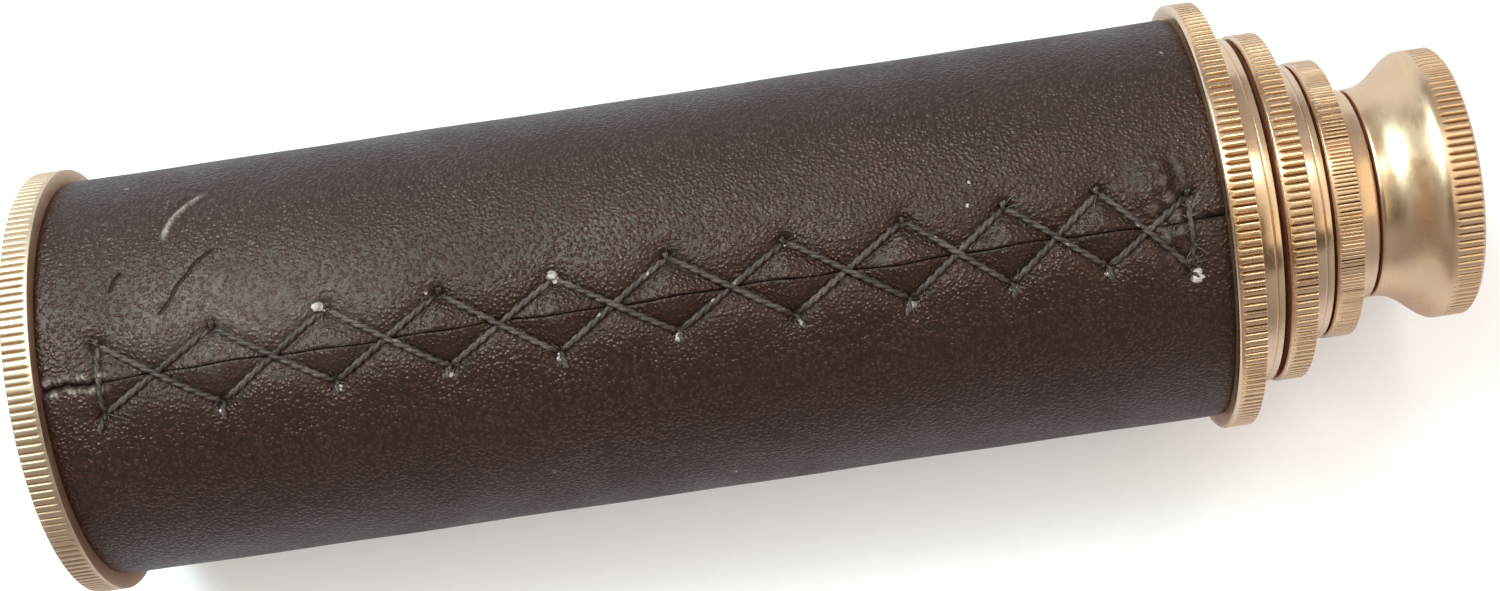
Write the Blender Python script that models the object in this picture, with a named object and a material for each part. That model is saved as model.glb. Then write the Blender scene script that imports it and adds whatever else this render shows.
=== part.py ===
"""Three-draw brass spyglass, closed and lying on its side, objective end towards -X.

Every piece is turned about the optical axis, which runs along +X at the height of the two
large end rings.  A place along the axis is a station: millimetres from the front face of the
objective bezel.  The origin is on the table, under the middle of the closed telescope.
"""

import math

import bmesh
import bpy
from mathutils import Vector

MM = 0.001

# Driving dimensions, in millimetres.
CLOSED_LENGTH = 150.0
RING_RADIUS = 23.0            # the bezel and the barrel collar, which stand on the table
LEATHER_RADIUS = 21.5
LEATHER_THICKNESS = 1.0
BARREL_RADIUS = 20.2          # outside of the brass tube under the leather
BARREL_WALL = 0.8
DRAW_RADII = (16.8, 13.4, 10.3)
DRAW_WALL = 0.6
COLLAR_RADII = (23.0, 18.8, 15.0)       # knurled flanges: barrel, draw 1 and draw 2
BOSS_RADII = (18.7, 14.9, 11.5)         # plain noses behind those flanges
GAP = 0.3                     # running or resting gap between two pieces

# Stations along the axis, in millimetres.
LEATHER_START = 3.2
LEATHER_END = 122.0
COLLAR_FACES = (122.3, 128.6, 134.4)    # front faces of the three knurled flanges
NOSE_ENDS = (128.0, 134.1, 139.9)       # outer ends of the three collars
BELL_START = 140.2
STOP_STARTS = (16.5, 19.0, 21.5)        # inner ends of the three draws when closed
SPIGOT_LENGTHS = (16.0, 14.0, 12.0)     # how far each collar reaches into its tube

FLANGE_WIDTH = 2.8
KNURL_CHAMFER = 0.35
SLEEVE_WALL = 0.5

BELL_WAIST = 11.3
BELL_RIM = 14.5
BELL_RIM_START = 146.7
BELL_END = CLOSED_LENGTH

LENS_CELL_RADIUS = 18.2       # bore of the objective cell
OPTIC_RADIUS = 8.5            # the four small lenses
CARTRIDGE_RADIUS = 9.4
CARTRIDGE_BORE = 8.8
CARTRIDGE_WAIST = 7.8

SEAM_ANGLE = 86.0             # degrees above the table, on the -Y side
SEAM_SLIT = 0.35
STITCH_COUNT = 10
STITCH_PITCH = 11.0
STITCH_START = 8.5
STITCH_SPREAD = 3.9           # from the seam to each row of holes, along the leather
LACE_RADIUS = 0.4

OUTER_SEGMENTS = 32
INNER_SEGMENTS = 24

AXIS_HEIGHT = RING_RADIUS
HALF_LENGTH = CLOSED_LENGTH / 2

MATERIALS = {
    # name: (colour, metallic, roughness)
    "brass": ((0.80, 0.60, 0.36, 1.0), 1.0, 0.22),
    "blackened_brass": ((0.03, 0.028, 0.025, 1.0), 0.6, 0.55),
    "leather": ((0.045, 0.030, 0.026, 1.0), 0.0, 0.50),
    "waxed_lace": ((0.075, 0.052, 0.042, 1.0), 0.0, 0.65),
    "glass": ((0.86, 0.93, 0.95, 1.0), 0.0, 0.03),
}


def clear_scene():
    """Removes whatever the scene started with."""
    for obj in list(bpy.data.objects):
        bpy.data.objects.remove(obj)


def material(name):
    """The named finish, made the first time that it is asked for."""
    found = bpy.data.materials.get(name)
    if found:
        return found
    colour, metallic, roughness = MATERIALS[name]
    made = bpy.data.materials.new(name)
    made.use_nodes = True
    made.diffuse_color = colour
    shader = made.node_tree.nodes["Principled BSDF"]
    shader.inputs["Base Color"].default_value = colour
    shader.inputs["Metallic"].default_value = metallic
    shader.inputs["Roughness"].default_value = roughness
    if name == "glass":
        shader.inputs["Transmission Weight"].default_value = 1.0
    return made


def add_frame(name, parent=None):
    """An empty on the optical axis, for the pieces that move together."""
    frame = bpy.data.objects.new(name, None)
    frame.empty_display_size = 0.01
    bpy.context.scene.collection.objects.link(frame)
    if parent:
        frame.parent = parent
    else:
        frame.location = (-HALF_LENGTH * MM, 0.0, AXIS_HEIGHT * MM)
    return frame


def add_piece(name, bm, finish, frame, station):
    """Makes a named object from a mesh whose own origin is on the axis at the station."""
    mesh = bpy.data.meshes.new(name)
    bm.to_mesh(mesh)
    bm.free()
    mesh.materials.append(material(finish))
    mesh.shade_smooth()
    mesh.set_sharp_from_angle(angle=math.radians(30))
    piece = bpy.data.objects.new(name, mesh)
    bpy.context.scene.collection.objects.link(piece)
    piece.parent = frame
    piece.location = (station * MM, 0.0, 0.0)
    return piece


def turned_mesh(outline, segments, sweep=2 * math.pi, start_angle=None):
    """Turns an outline of (station, radius) points about the X axis.

    The flats, not the corners, lie at the stated radii, and one flat faces straight down.
    An outline that starts and ends on the axis is left open there.
    """
    origin = outline[0][0]
    step = sweep / segments
    on_flats = 1 / math.cos(step / 2)
    first = step / 2 if start_angle is None else start_angle
    bm = bmesh.new()
    points = []
    for station, radius in outline:
        reach = radius * on_flats * MM
        place = ((station - origin) * MM, reach * math.sin(first), -reach * math.cos(first))
        points.append(bm.verts.new(place))
    pairs = list(zip(points, points[1:]))
    if outline[0][1] > 0 or outline[-1][1] > 0:
        pairs.append((points[-1], points[0]))
    edges = [bm.edges.new(pair) for pair in pairs]
    whole = math.isclose(sweep, 2 * math.pi)
    if not whole:
        bm.faces.new(points)
    result = bmesh.ops.spin(
        bm,
        geom=points + edges,
        cent=(0, 0, 0),
        axis=(1, 0, 0),
        angle=sweep,
        steps=segments,
        use_merge=whole,
    )
    if not whole:
        bm.faces.new([item for item in result["geom_last"] if isinstance(item, bmesh.types.BMVert)])
    bmesh.ops.remove_doubles(bm, verts=bm.verts, dist=1e-6)
    bmesh.ops.recalc_face_normals(bm, faces=bm.faces)
    return bm


def turned(name, outline, finish, frame, segments=OUTER_SEGMENTS):
    """A named solid turned about the optical axis."""
    return add_piece(name, turned_mesh(outline, segments), finish, frame, outline[0][0])


def split_tube(name, start, end, inner, outer, slit, angle, finish, frame, segments):
    """A tube with one lengthwise slit, its middle at an angle about the axis, as a rolled sheet has."""
    slit_sweep = slit / outer
    outline = [(start, inner), (end, inner), (end, outer), (start, outer)]
    bm = turned_mesh(outline, segments, 2 * math.pi - slit_sweep, angle + slit_sweep / 2)
    return add_piece(name, bm, finish, frame, start)


def tube(name, start, end, inner, outer, finish, frame, segments=OUTER_SEGMENTS):
    """A plain tube or washer."""
    outline = [(start, inner), (start, outer), (end, outer), (end, inner)]
    return turned(name, outline, finish, frame, segments)


def lens(name, front, back, radius, front_bulge, back_bulge, frame, segments=INNER_SEGMENTS):
    """A glass lens.  front and back are the rim's stations, and a bulge is positive outwards."""
    rings = 3

    def surface(rim, bulge, sign):
        return [
            (rim + sign * bulge * (1 - (k / rings) ** 2), radius * k / rings)
            for k in range(rings + 1)
        ]

    outline = surface(front, front_bulge, -1) + surface(back, back_bulge, 1)[::-1]
    return turned(name, outline, "glass", frame, segments)


def notch_ring(ring, depth_from, radius):
    """Cuts the two spanner slots across a retaining ring's open face."""
    slot_width, slot_depth = 1.6, 0.8
    bm = bmesh.new()
    bmesh.ops.create_cube(bm, size=1.0)
    size = Vector((2 * slot_depth, 3 * radius, slot_width)) * MM
    bmesh.ops.scale(bm, vec=size, verts=bm.verts)
    cutter = add_piece(ring.name + "_slots", bm, "blackened_brass", ring.parent, depth_from)
    cutter.hide_render = True
    cutter.display_type = "WIRE"
    cut = ring.modifiers.new("spanner slots", "BOOLEAN")
    cut.operation = "DIFFERENCE"
    cut.object = cutter
    cut.solver = "EXACT"


def retaining_ring(name, start, end, inner, outer, open_face, frame):
    """A thin threaded ring with two spanner slots in the face that a spanner reaches."""
    ring = tube(name, start, end, inner, outer, "blackened_brass", frame, INNER_SEGMENTS)
    notch_ring(ring, open_face, outer)
    return ring


def collar_outline(index):
    """Outline of a knurled collar: spigot, flange, plain nose and the seat of its friction sleeve."""
    face = COLLAR_FACES[index]
    flange = COLLAR_RADII[index]
    boss = BOSS_RADII[index]
    tube_bore = BARREL_RADIUS - BARREL_WALL if index == 0 else DRAW_RADII[index - 1] - DRAW_WALL
    spigot = tube_bore - GAP
    lip_bore = DRAW_RADII[index] + GAP
    seat = lip_bore + SLEEVE_WALL + GAP
    inner_end = face - SPIGOT_LENGTHS[index]
    flange_back = face + FLANGE_WIDTH
    nose = NOSE_ENDS[index]
    seat_end = flange_back if index < 2 else flange_back - 0.8
    return [
        (inner_end, seat),
        (inner_end, spigot),
        (face, spigot),
        (face, flange - KNURL_CHAMFER),
        (face + KNURL_CHAMFER, flange),
        (flange_back - KNURL_CHAMFER, flange),
        (flange_back, flange - KNURL_CHAMFER),
        (flange_back, boss + 0.8),
        (flange_back + 0.35, boss + 0.25),
        (flange_back + 0.9, boss),
        (nose - 0.35, boss),
        (nose, boss - 0.35),
        (nose, lip_bore),
        (seat_end, lip_bore),
        (seat_end, seat),
    ]


def stop_ring(name, index, frame):
    """The ring on a draw tube's inner end, which meets the collar's spigot when the draw is out."""
    start = STOP_STARTS[index]
    bore = BARREL_RADIUS - BARREL_WALL if index == 0 else DRAW_RADII[index - 1] - DRAW_WALL
    outer = bore - GAP
    seat = DRAW_RADII[index] + GAP
    lip = DRAW_RADII[index] - DRAW_WALL - GAP
    outline = [
        (start, lip),
        (start, outer - 0.4),
        (start + 0.4, outer),
        (start + 5.0, outer),
        (start + 5.0, seat),
        (start + 0.5, seat),
        (start + 0.5, lip),
    ]
    return turned(name, outline, "brass", frame)


def friction_sleeve(name, index, frame):
    """The split spring sleeve inside a collar, which grips the draw tube."""
    start = COLLAR_FACES[index] - SPIGOT_LENGTHS[index] + 0.4
    flange_back = COLLAR_FACES[index] + FLANGE_WIDTH
    end = (flange_back if index < 2 else flange_back - 0.8) - GAP
    inner = DRAW_RADII[index] + GAP
    outer = inner + SLEEVE_WALL
    slit = 2.0
    return split_tube(
        name, start, end, inner, outer, slit, math.pi, "brass", frame, OUTER_SEGMENTS
    )


def build_objective(frame):
    """The knurled bezel with its lens cell, the two glasses and the ring that holds them."""
    cell_end = 15.0
    lip_front, lip_back = 6.0, 7.0
    lip_radius = 16.8
    spigot = BARREL_RADIUS - BARREL_WALL - GAP
    bezel_back = LEATHER_START - GAP
    outline = [
        (0.0, LENS_CELL_RADIUS + 0.3),
        (0.0, RING_RADIUS - KNURL_CHAMFER),
        (KNURL_CHAMFER, RING_RADIUS),
        (bezel_back - KNURL_CHAMFER, RING_RADIUS),
        (bezel_back, RING_RADIUS - KNURL_CHAMFER),
        (bezel_back, spigot),
        (cell_end, spigot),
        (cell_end, LENS_CELL_RADIUS),
        (lip_back, LENS_CELL_RADIUS),
        (lip_back, lip_radius),
        (lip_front, lip_radius),
        (lip_front, LENS_CELL_RADIUS),
        (0.3, LENS_CELL_RADIUS),
    ]
    turned("objective_bezel", outline, "brass", frame)
    glass_radius = LENS_CELL_RADIUS - GAP
    crown_bulge = 1.7
    lens("objective_crown_lens", 7.4, 9.0, glass_radius, 1.4, crown_bulge, frame)
    lens("objective_flint_lens", 9.3, 12.7, glass_radius, -crown_bulge, 0.0, frame)
    retaining_ring("objective_retaining_ring", 13.0, 14.8, 16.3, glass_radius, 14.8, frame)


def build_barrel(frame):
    """The brass body tube, its leather cover and the collar at the draw end."""
    tube(
        "barrel_tube", LEATHER_START, LEATHER_END, BARREL_RADIUS - BARREL_WALL, BARREL_RADIUS, "brass", frame
    )
    split_tube(
        "leather_cover",
        LEATHER_START,
        LEATHER_END,
        LEATHER_RADIUS - LEATHER_THICKNESS,
        LEATHER_RADIUS,
        SEAM_SLIT,
        seam_turn(),
        "leather",
        frame,
        OUTER_SEGMENTS,
    )
    turned("barrel_collar", collar_outline(0), "brass", frame)


def seam_turn():
    """The seam's angle about +X, counted from straight down as turned_mesh counts it."""
    return -math.radians(90 + SEAM_ANGLE)


def lace_point(station, offset):
    """(place, outward direction) of a point of the lace, offset round the leather from the seam."""
    turn = seam_turn() + offset / LEATHER_RADIUS
    outward = Vector((0.0, math.sin(turn), -math.cos(turn)))
    height = LEATHER_RADIUS * 1.0035 + GAP + LACE_RADIUS
    return Vector((station, 0.0, 0.0)) + outward * height, outward


def lace_path(corners):
    """Points along straight stitches between (station, offset) corners, bent round the leather."""
    steps = 3
    path = []
    for (s0, o0), (s1, o1) in zip(corners, corners[1:]):
        path += [(s0 + (s1 - s0) * k / steps, o0 + (o1 - o0) * k / steps) for k in range(steps)]
    return [lace_point(*point) for point in path + [corners[-1]]]


def swept(path, radius, sides=6):
    """A closed round cord along (place, outward direction) points."""
    bm = bmesh.new()
    rings = []
    for index, (place, outward) in enumerate(path):
        before = path[max(index - 1, 0)][0]
        after = path[min(index + 1, len(path) - 1)][0]
        side = (after - before).normalized().cross(outward)
        ring = []
        for k in range(sides):
            turn = 2 * math.pi * (k + 0.5) / sides
            offset = side * math.cos(turn) + outward * math.sin(turn)
            ring.append(bm.verts.new((place + offset * radius) * MM))
        rings.append(ring)
    for first, second in zip(rings, rings[1:]):
        for k in range(sides):
            after = (k + 1) % sides
            bm.faces.new((first[k], first[after], second[after], second[k]))
    bm.faces.new(rings[0])
    bm.faces.new(rings[-1])
    bmesh.ops.recalc_face_normals(bm, faces=bm.faces)
    return bm


def build_lacing(frame):
    """One waxed lace in a row of crosses along the seam, tied off across both ends."""
    def hole(index, row):
        return (STITCH_START + index * STITCH_PITCH, row * STITCH_SPREAD)

    outward_leg = [hole(k, 1 if k % 2 else -1) for k in range(STITCH_COUNT + 1)]
    return_leg = [hole(k, -1 if k % 2 else 1) for k in range(STITCH_COUNT + 1)]
    closing = [hole(0, -1)] + return_leg + [hole(STITCH_COUNT, -1)]
    lacing = add_piece(
        "seam_lacing", swept(lace_path(outward_leg), LACE_RADIUS), "waxed_lace", frame, 0.0
    )
    crossing = add_piece(
        "lacing_return_leg", swept(lace_path(closing), LACE_RADIUS * 1.02), "waxed_lace", frame, 0.0
    )
    crossing.hide_render = True
    crossing.display_type = "WIRE"
    join = lacing.modifiers.new("cross stitches", "BOOLEAN")
    join.operation = "UNION"
    join.object = crossing
    join.solver = "EXACT"


def draw_tube(name, index, end, frame):
    """One of the three thin drawn tubes, from just inside its stop ring."""
    radius = DRAW_RADII[index]
    return tube(name, STOP_STARTS[index] + 0.8, end, radius - DRAW_WALL, radius, "brass", frame)


def build_draw(index, frame):
    """A middle draw: its tube, the stop ring at its inner end and the collar at its outer end."""
    number = index + 1
    draw_tube(f"draw_tube_{number}", index, COLLAR_FACES[number] - GAP, frame)
    stop_ring(f"stop_ring_{number}", index, frame)
    turned(f"draw_collar_{number}", collar_outline(number), "brass", frame)


def cartridge(name, start, end, seat_depth, frame):
    """A blackened lens tube with a wider seat at each end."""
    outline = [
        (start, CARTRIDGE_BORE),
        (start, CARTRIDGE_RADIUS),
        (end, CARTRIDGE_RADIUS),
        (end, CARTRIDGE_BORE),
        (end - seat_depth, CARTRIDGE_BORE),
        (end - seat_depth, CARTRIDGE_WAIST),
        (start + seat_depth, CARTRIDGE_WAIST),
        (start + seat_depth, CARTRIDGE_BORE),
    ]
    return turned(name, outline, "blackened_brass", frame, INNER_SEGMENTS)


def stop_disc(name, station, aperture, frame):
    """A thin blackened diaphragm across a cartridge's waist."""
    thickness = 0.8
    return tube(
        name,
        station,
        station + thickness,
        aperture,
        CARTRIDGE_WAIST - GAP,
        "blackened_brass",
        frame,
        INNER_SEGMENTS,
    )


def build_erector(frame):
    """The erecting pair of lenses at the inner end of the eye draw, which turns the image upright."""
    start, end, seat = 24.0, 60.0, 5.0
    ring_inner = 7.3
    cartridge("erector_cartridge", start, end, seat, frame)
    lens("erector_front_lens", 26.3, 28.6, OPTIC_RADIUS, 0.0, 1.5, frame)
    retaining_ring("erector_front_retainer", 24.3, 25.9, ring_inner, OPTIC_RADIUS, 24.3, frame)
    stop_disc("erector_stop", 41.6, 2.5, frame)
    lens("erector_rear_lens", 55.6, 57.8, OPTIC_RADIUS, 1.5, 0.0, frame)
    retaining_ring("erector_rear_retainer", 58.1, 59.7, ring_inner, OPTIC_RADIUS, 59.7, frame)


def build_eyepiece(frame):
    """The two-lens eyepiece at the outer end of the eye draw."""
    start, end, seat = 112.0, 143.2, 5.6
    ring_inner = 7.3
    cartridge("eyepiece_cartridge", start, end, seat, frame)
    lens("field_lens", 114.9, 117.2, OPTIC_RADIUS, 1.8, 0.0, frame)
    retaining_ring("field_lens_retainer", 112.3, 113.9, ring_inner, OPTIC_RADIUS, 112.3, frame)
    stop_disc("field_stop", 127.4, 4.5, frame)
    lens("eye_lens", 138.2, 140.3, OPTIC_RADIUS, 1.6, 0.0, frame)
    retaining_ring("eye_lens_retainer", 140.7, 142.4, ring_inner, OPTIC_RADIUS, 142.4, frame)


def bell_radius(station):
    """Outside of the eyepiece bell, a trumpet curve that rolls over into the knurled rim."""
    share = (station - BELL_START) / (BELL_RIM_START - BELL_START)
    eased = share ** 1.45
    return BELL_WAIST + (BELL_RIM - BELL_WAIST) * eased * eased * (3 - 2 * eased)


def build_bell(frame):
    """The flared eyepiece end with its dished face and eye hole."""
    flare_steps = 8
    bore = DRAW_RADII[2] + GAP
    seat_end = 143.8
    plate = 145.0
    eye_hole = 4.5
    face_outer = BELL_RIM - 0.55
    face_inner = 12.7
    dish_foot = 8.7
    step = (BELL_RIM_START - BELL_START) / flare_steps
    outline = [(BELL_START, bore)]
    for k in range(flare_steps + 1):
        station = BELL_START + k * step
        outline.append((station, bell_radius(station)))
    outline += [
        (BELL_END - 0.7, BELL_RIM),
        (BELL_END - 0.2, BELL_RIM - 0.2),
        (BELL_END, face_outer),
        (BELL_END, face_inner),
        (BELL_END - 0.5, 12.2),
        (plate + 0.6, dish_foot + 0.5),
        (plate + 0.2, dish_foot),
        (plate, eye_hole),
        (seat_end, eye_hole),
        (seat_end, bore),
    ]
    turned("eyepiece_bell", outline, "brass", frame)


def main():
    """Builds the telescope from the objective end to the eye end."""
    clear_scene()
    barrel = add_frame("barrel_frame")
    build_objective(barrel)
    build_barrel(barrel)
    build_lacing(barrel)
    sleeve_1 = add_frame("sleeve_1_frame", barrel)
    friction_sleeve("friction_sleeve_1", 0, sleeve_1)
    draw_1 = add_frame("draw_1_frame", sleeve_1)
    build_draw(0, draw_1)
    sleeve_2 = add_frame("sleeve_2_frame", draw_1)
    friction_sleeve("friction_sleeve_2", 1, sleeve_2)
    draw_2 = add_frame("draw_2_frame", sleeve_2)
    build_draw(1, draw_2)
    sleeve_3 = add_frame("sleeve_3_frame", draw_2)
    friction_sleeve("friction_sleeve_3", 2, sleeve_3)
    draw_3 = add_frame("draw_3_frame", sleeve_3)
    draw_tube("draw_tube_3", 2, 143.5, draw_3)
    stop_ring("stop_ring_3", 2, draw_3)
    build_erector(draw_3)
    build_eyepiece(draw_3)
    build_bell(draw_3)


main()
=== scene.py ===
"""Looks of a three-draw brass spyglass, closed and lying on its two large end rings.

Every piece is turned or sewn round the optical axis, which runs along +X.  A place along the
axis is a station, in millimetres from the front face of the objective bezel.  A turn is an
angle about the axis, counted from straight up and growing towards -Y.
"""

from __future__ import annotations

import logging
import math
import sys
from dataclasses import dataclass, field
from enum import Enum

import bpy
import numpy as np
from mathutils import Matrix, Vector

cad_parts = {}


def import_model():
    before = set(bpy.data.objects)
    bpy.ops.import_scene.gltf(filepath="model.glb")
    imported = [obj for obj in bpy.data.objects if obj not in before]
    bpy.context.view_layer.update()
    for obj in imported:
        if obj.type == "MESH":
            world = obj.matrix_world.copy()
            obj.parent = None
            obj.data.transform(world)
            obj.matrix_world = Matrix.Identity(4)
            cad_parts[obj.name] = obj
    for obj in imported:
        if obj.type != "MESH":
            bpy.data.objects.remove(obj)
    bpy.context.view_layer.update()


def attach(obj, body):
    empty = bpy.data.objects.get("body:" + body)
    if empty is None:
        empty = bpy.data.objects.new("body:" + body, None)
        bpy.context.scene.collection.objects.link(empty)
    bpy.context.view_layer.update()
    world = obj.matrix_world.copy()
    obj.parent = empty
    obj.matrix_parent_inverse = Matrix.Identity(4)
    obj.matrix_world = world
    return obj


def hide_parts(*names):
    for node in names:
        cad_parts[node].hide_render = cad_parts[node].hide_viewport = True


LOG = logging.getLogger("spyglass")

Colour = tuple[float, float, float, float]
Place = tuple[float, float, float]

MM = 0.001
HALF_LENGTH = 75.0
AXIS_HEIGHT = 23.0
ROUND = 192                 # columns of a plain turned piece
INNER_ROUND = 144           # columns of a hidden turned piece
SHARP_ANGLE = 32.0          # degrees; above it an edge of metal or glass stays crisp
SOFT_ANGLE = 60.0           # the same for hide, thread and wax

DRAW_RADII = (16.8, 13.4, 10.3)
DRAW_WALL = 0.6
BARREL_RADIUS = 20.2
BARREL_WALL = 0.8
COLLAR_FACES = (122.3, 128.6, 134.4)
COLLAR_RADII = (23.0, 18.8, 15.0)
BOSS_RADII = (18.7, 14.9, 11.5)
NOSE_ENDS = (128.0, 134.1, 139.9)
FLANGE_WIDTH = 2.8
STOP_STARTS = (16.5, 19.0, 21.5)
STOP_LENGTH = 5.0
SPIGOT_LENGTHS = (16.0, 14.0, 12.0)
SLEEVE_WALL = 0.5
END_LIP = 0.8               # lip that keeps the last spring sleeve in its collar
GAP = 0.3


def bore_around(index: int) -> float:
    """The bore of the tube that a draw slides in."""
    return BARREL_RADIUS - BARREL_WALL if index == 0 else DRAW_RADII[index - 1] - DRAW_WALL


def sleeve_seat_end(index: int) -> float:
    """The station where the seat of a collar's spring sleeve ends."""
    back = COLLAR_FACES[index] + FLANGE_WIDTH
    return back if index < 2 else back - END_LIP


def smooth(value: np.ndarray) -> np.ndarray:
    """Eases a value from 0 to 1 with level ends."""
    held = np.clip(value, 0.0, 1.0)
    return held * held * (3.0 - 2.0 * held)


def bell_curve(distance: np.ndarray, width: float) -> np.ndarray:
    """A soft bump, 1 at distance 0 and nearly nothing past two widths."""
    return np.exp(-0.5 * (distance / width) ** 2)


def in_space(station: np.ndarray, radius: np.ndarray, turn: np.ndarray) -> np.ndarray:
    """Turns places round the axis into points in metres.

    Args:
        station: millimetres from the bezel's front face.
        radius: millimetres from the optical axis.
        turn: radians from straight up, towards -Y.

    Returns:
        An array whose last axis holds x, y and z.
    """
    station, radius, turn = np.broadcast_arrays(station, radius, turn)
    across = -radius * np.sin(turn)
    height = AXIS_HEIGHT + radius * np.cos(turn)
    return np.stack([station - HALF_LENGTH, across, height], axis=-1) * MM


def make_object(
    name: str,
    points: np.ndarray,
    faces: list[np.ndarray],
    masks: dict[str, np.ndarray] | None = None,
    sharp: float = SHARP_ANGLE,
) -> bpy.types.Object:
    """Makes a mesh object with its faces turned outwards.

    Args:
        name: the piece's name.
        points: the corners, one row each, in metres.
        faces: arrays of faces, each with one column per corner of a face.
        masks: values for each corner, by attribute name.
        sharp: the angle in degrees above which an edge stays crisp.

    Returns:
        The new object, already in the scene.
    """
    mesh = bpy.data.meshes.new(name)
    polygons = [row for block in faces for row in block.tolist()]
    if outward_volume(points, faces) < 0:
        polygons = [row[::-1] for row in polygons]
    mesh.from_pydata(points.tolist(), [], polygons)
    for mask_name, values in (masks or {}).items():
        attribute = mesh.attributes.new(mask_name, "FLOAT", "POINT")
        attribute.data.foreach_set("value", np.asarray(values, np.float32))
    mesh.update()
    mesh.shade_smooth()
    mesh.set_sharp_from_angle(angle=math.radians(sharp))
    made = bpy.data.objects.new(name, mesh)
    bpy.context.scene.collection.objects.link(made)
    return made


def outward_volume(points: np.ndarray, faces: list[np.ndarray]) -> float:
    """The signed volume inside the faces, below zero where they are inside out."""
    total = 0.0
    for block in faces:
        first = points[block[:, 0]]
        for k in range(1, block.shape[1] - 1):
            second, third = points[block[:, k]], points[block[:, k + 1]]
            total += float(np.einsum("ij,ij->i", first, np.cross(second, third)).sum())
    return total


def grid_faces(rows: int, columns: int, wrap_rows: bool, wrap_columns: bool) -> np.ndarray:
    """The four-sided faces of a grid whose corners are numbered row by row.

    Args:
        rows: how many rows of corners there are.
        columns: how many corners each row has.
        wrap_rows: whether the last row joins the first.
        wrap_columns: whether each row closes on itself.

    Returns:
        An array with one face of four corner numbers in each line.
    """
    row = np.arange(rows if wrap_rows else rows - 1)[:, None]
    column = np.arange(columns if wrap_columns else columns - 1)[None, :]
    next_row, next_column = (row + 1) % rows, (column + 1) % columns
    corners = np.broadcast_arrays(
        row * columns + column,
        row * columns + next_column,
        next_row * columns + next_column,
        next_row * columns + column,
    )
    return np.stack(corners, axis=-1).reshape(-1, 4)


def capped_faces(rings: int, columns: int) -> list[np.ndarray]:
    """The faces over a stack of closed rings of corners, with a cap on each end."""
    around = np.arange(columns)[None, :]
    return [
        grid_faces(rings, columns, False, True),
        around[:, ::-1],
        around + (rings - 1) * columns,
    ]


def swept(rows: list[tuple[float | np.ndarray, float]], turns: np.ndarray) -> np.ndarray:
    """Sweeps rows round the axis.

    Args:
        rows: the station and radius of each row; a station may vary along its row.
        turns: the angles of the corners in a row.

    Returns:
        The corners in metres, row by row.
    """
    stations = np.array([np.broadcast_to(station, turns.shape) for station, _ in rows])
    radii = np.array([radius for _, radius in rows])[:, None]
    return in_space(stations, radii, turns[None, :]).reshape(-1, 3)


@dataclass
class Heap:
    """The corners and faces of many small solids that together make one piece."""

    points: list[np.ndarray] = field(default_factory=list)
    faces: list[np.ndarray] = field(default_factory=list)

    def add(self, rings: np.ndarray) -> None:
        """Adds one solid.

        Args:
            rings: its corners in metres, as [ring, corner, (x, y, z)].
        """
        base = sum(len(block) for block in self.points)
        self.points.append(rings.reshape(-1, 3))
        self.faces += [block + base for block in capped_faces(*rings.shape[:2])]

    def piece(self, name: str) -> bpy.types.Object:
        """The piece that the solids make."""
        return make_object(name, np.concatenate(self.points), self.faces, None, SOFT_ANGLE)


@dataclass(frozen=True)
class Corner:
    """One corner of an outline that a lathe turns."""

    station: float
    radius: float
    fillet: float = 0.0
    # how much red painted shade the finish lays on this corner, in gaps and bores
    gap_shade: float = 0.0


@dataclass
class Outline:
    """A closed outline of corners, rounded where they ask for it."""

    corners: list[Corner]
    steps: int = 4

    def rows(self) -> np.ndarray:
        """Rounds the corners.

        Returns:
            Rows of station, radius, edge (1 on a rounded ridge) and red painted shade for gaps.
        """
        made: list[tuple[float, float, float, float]] = []
        area = self.signed_area()
        count = len(self.corners)
        for index, corner in enumerate(self.corners):
            here = np.array([corner.station, corner.radius])
            before, after = self.corners[index - 1], self.corners[(index + 1) % count]
            back = np.array([before.station, before.radius]) - here
            ahead = np.array([after.station, after.radius]) - here
            reach = min(
                corner.fillet,
                0.45 * float(np.linalg.norm(back)),
                0.45 * float(np.linalg.norm(ahead)),
            )
            if reach <= 0.0:
                made.append((*here, 0.0, corner.gap_shade))
                continue
            turn = back[0] * ahead[1] - back[1] * ahead[0]
            ridge = 1.0 if turn * area < 0 else 0.0
            start = here + back / np.linalg.norm(back) * reach
            end = here + ahead / np.linalg.norm(ahead) * reach
            for k in range(self.steps + 1):
                t = k / self.steps
                point = start * (1 - t) ** 2 + here * 2 * t * (1 - t) + end * t * t
                edge = ridge * math.sin(math.pi * (0.15 + 0.7 * t))
                made.append((*point, edge, corner.gap_shade))
        return np.array(made)

    def signed_area(self) -> float:
        """Twice the outline's area, with the sign of the way that its corners run."""
        total = 0.0
        for first, second in zip(self.corners, self.corners[1:] + self.corners[:1]):
            total += first.station * second.radius - second.station * first.radius
        return total


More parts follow.
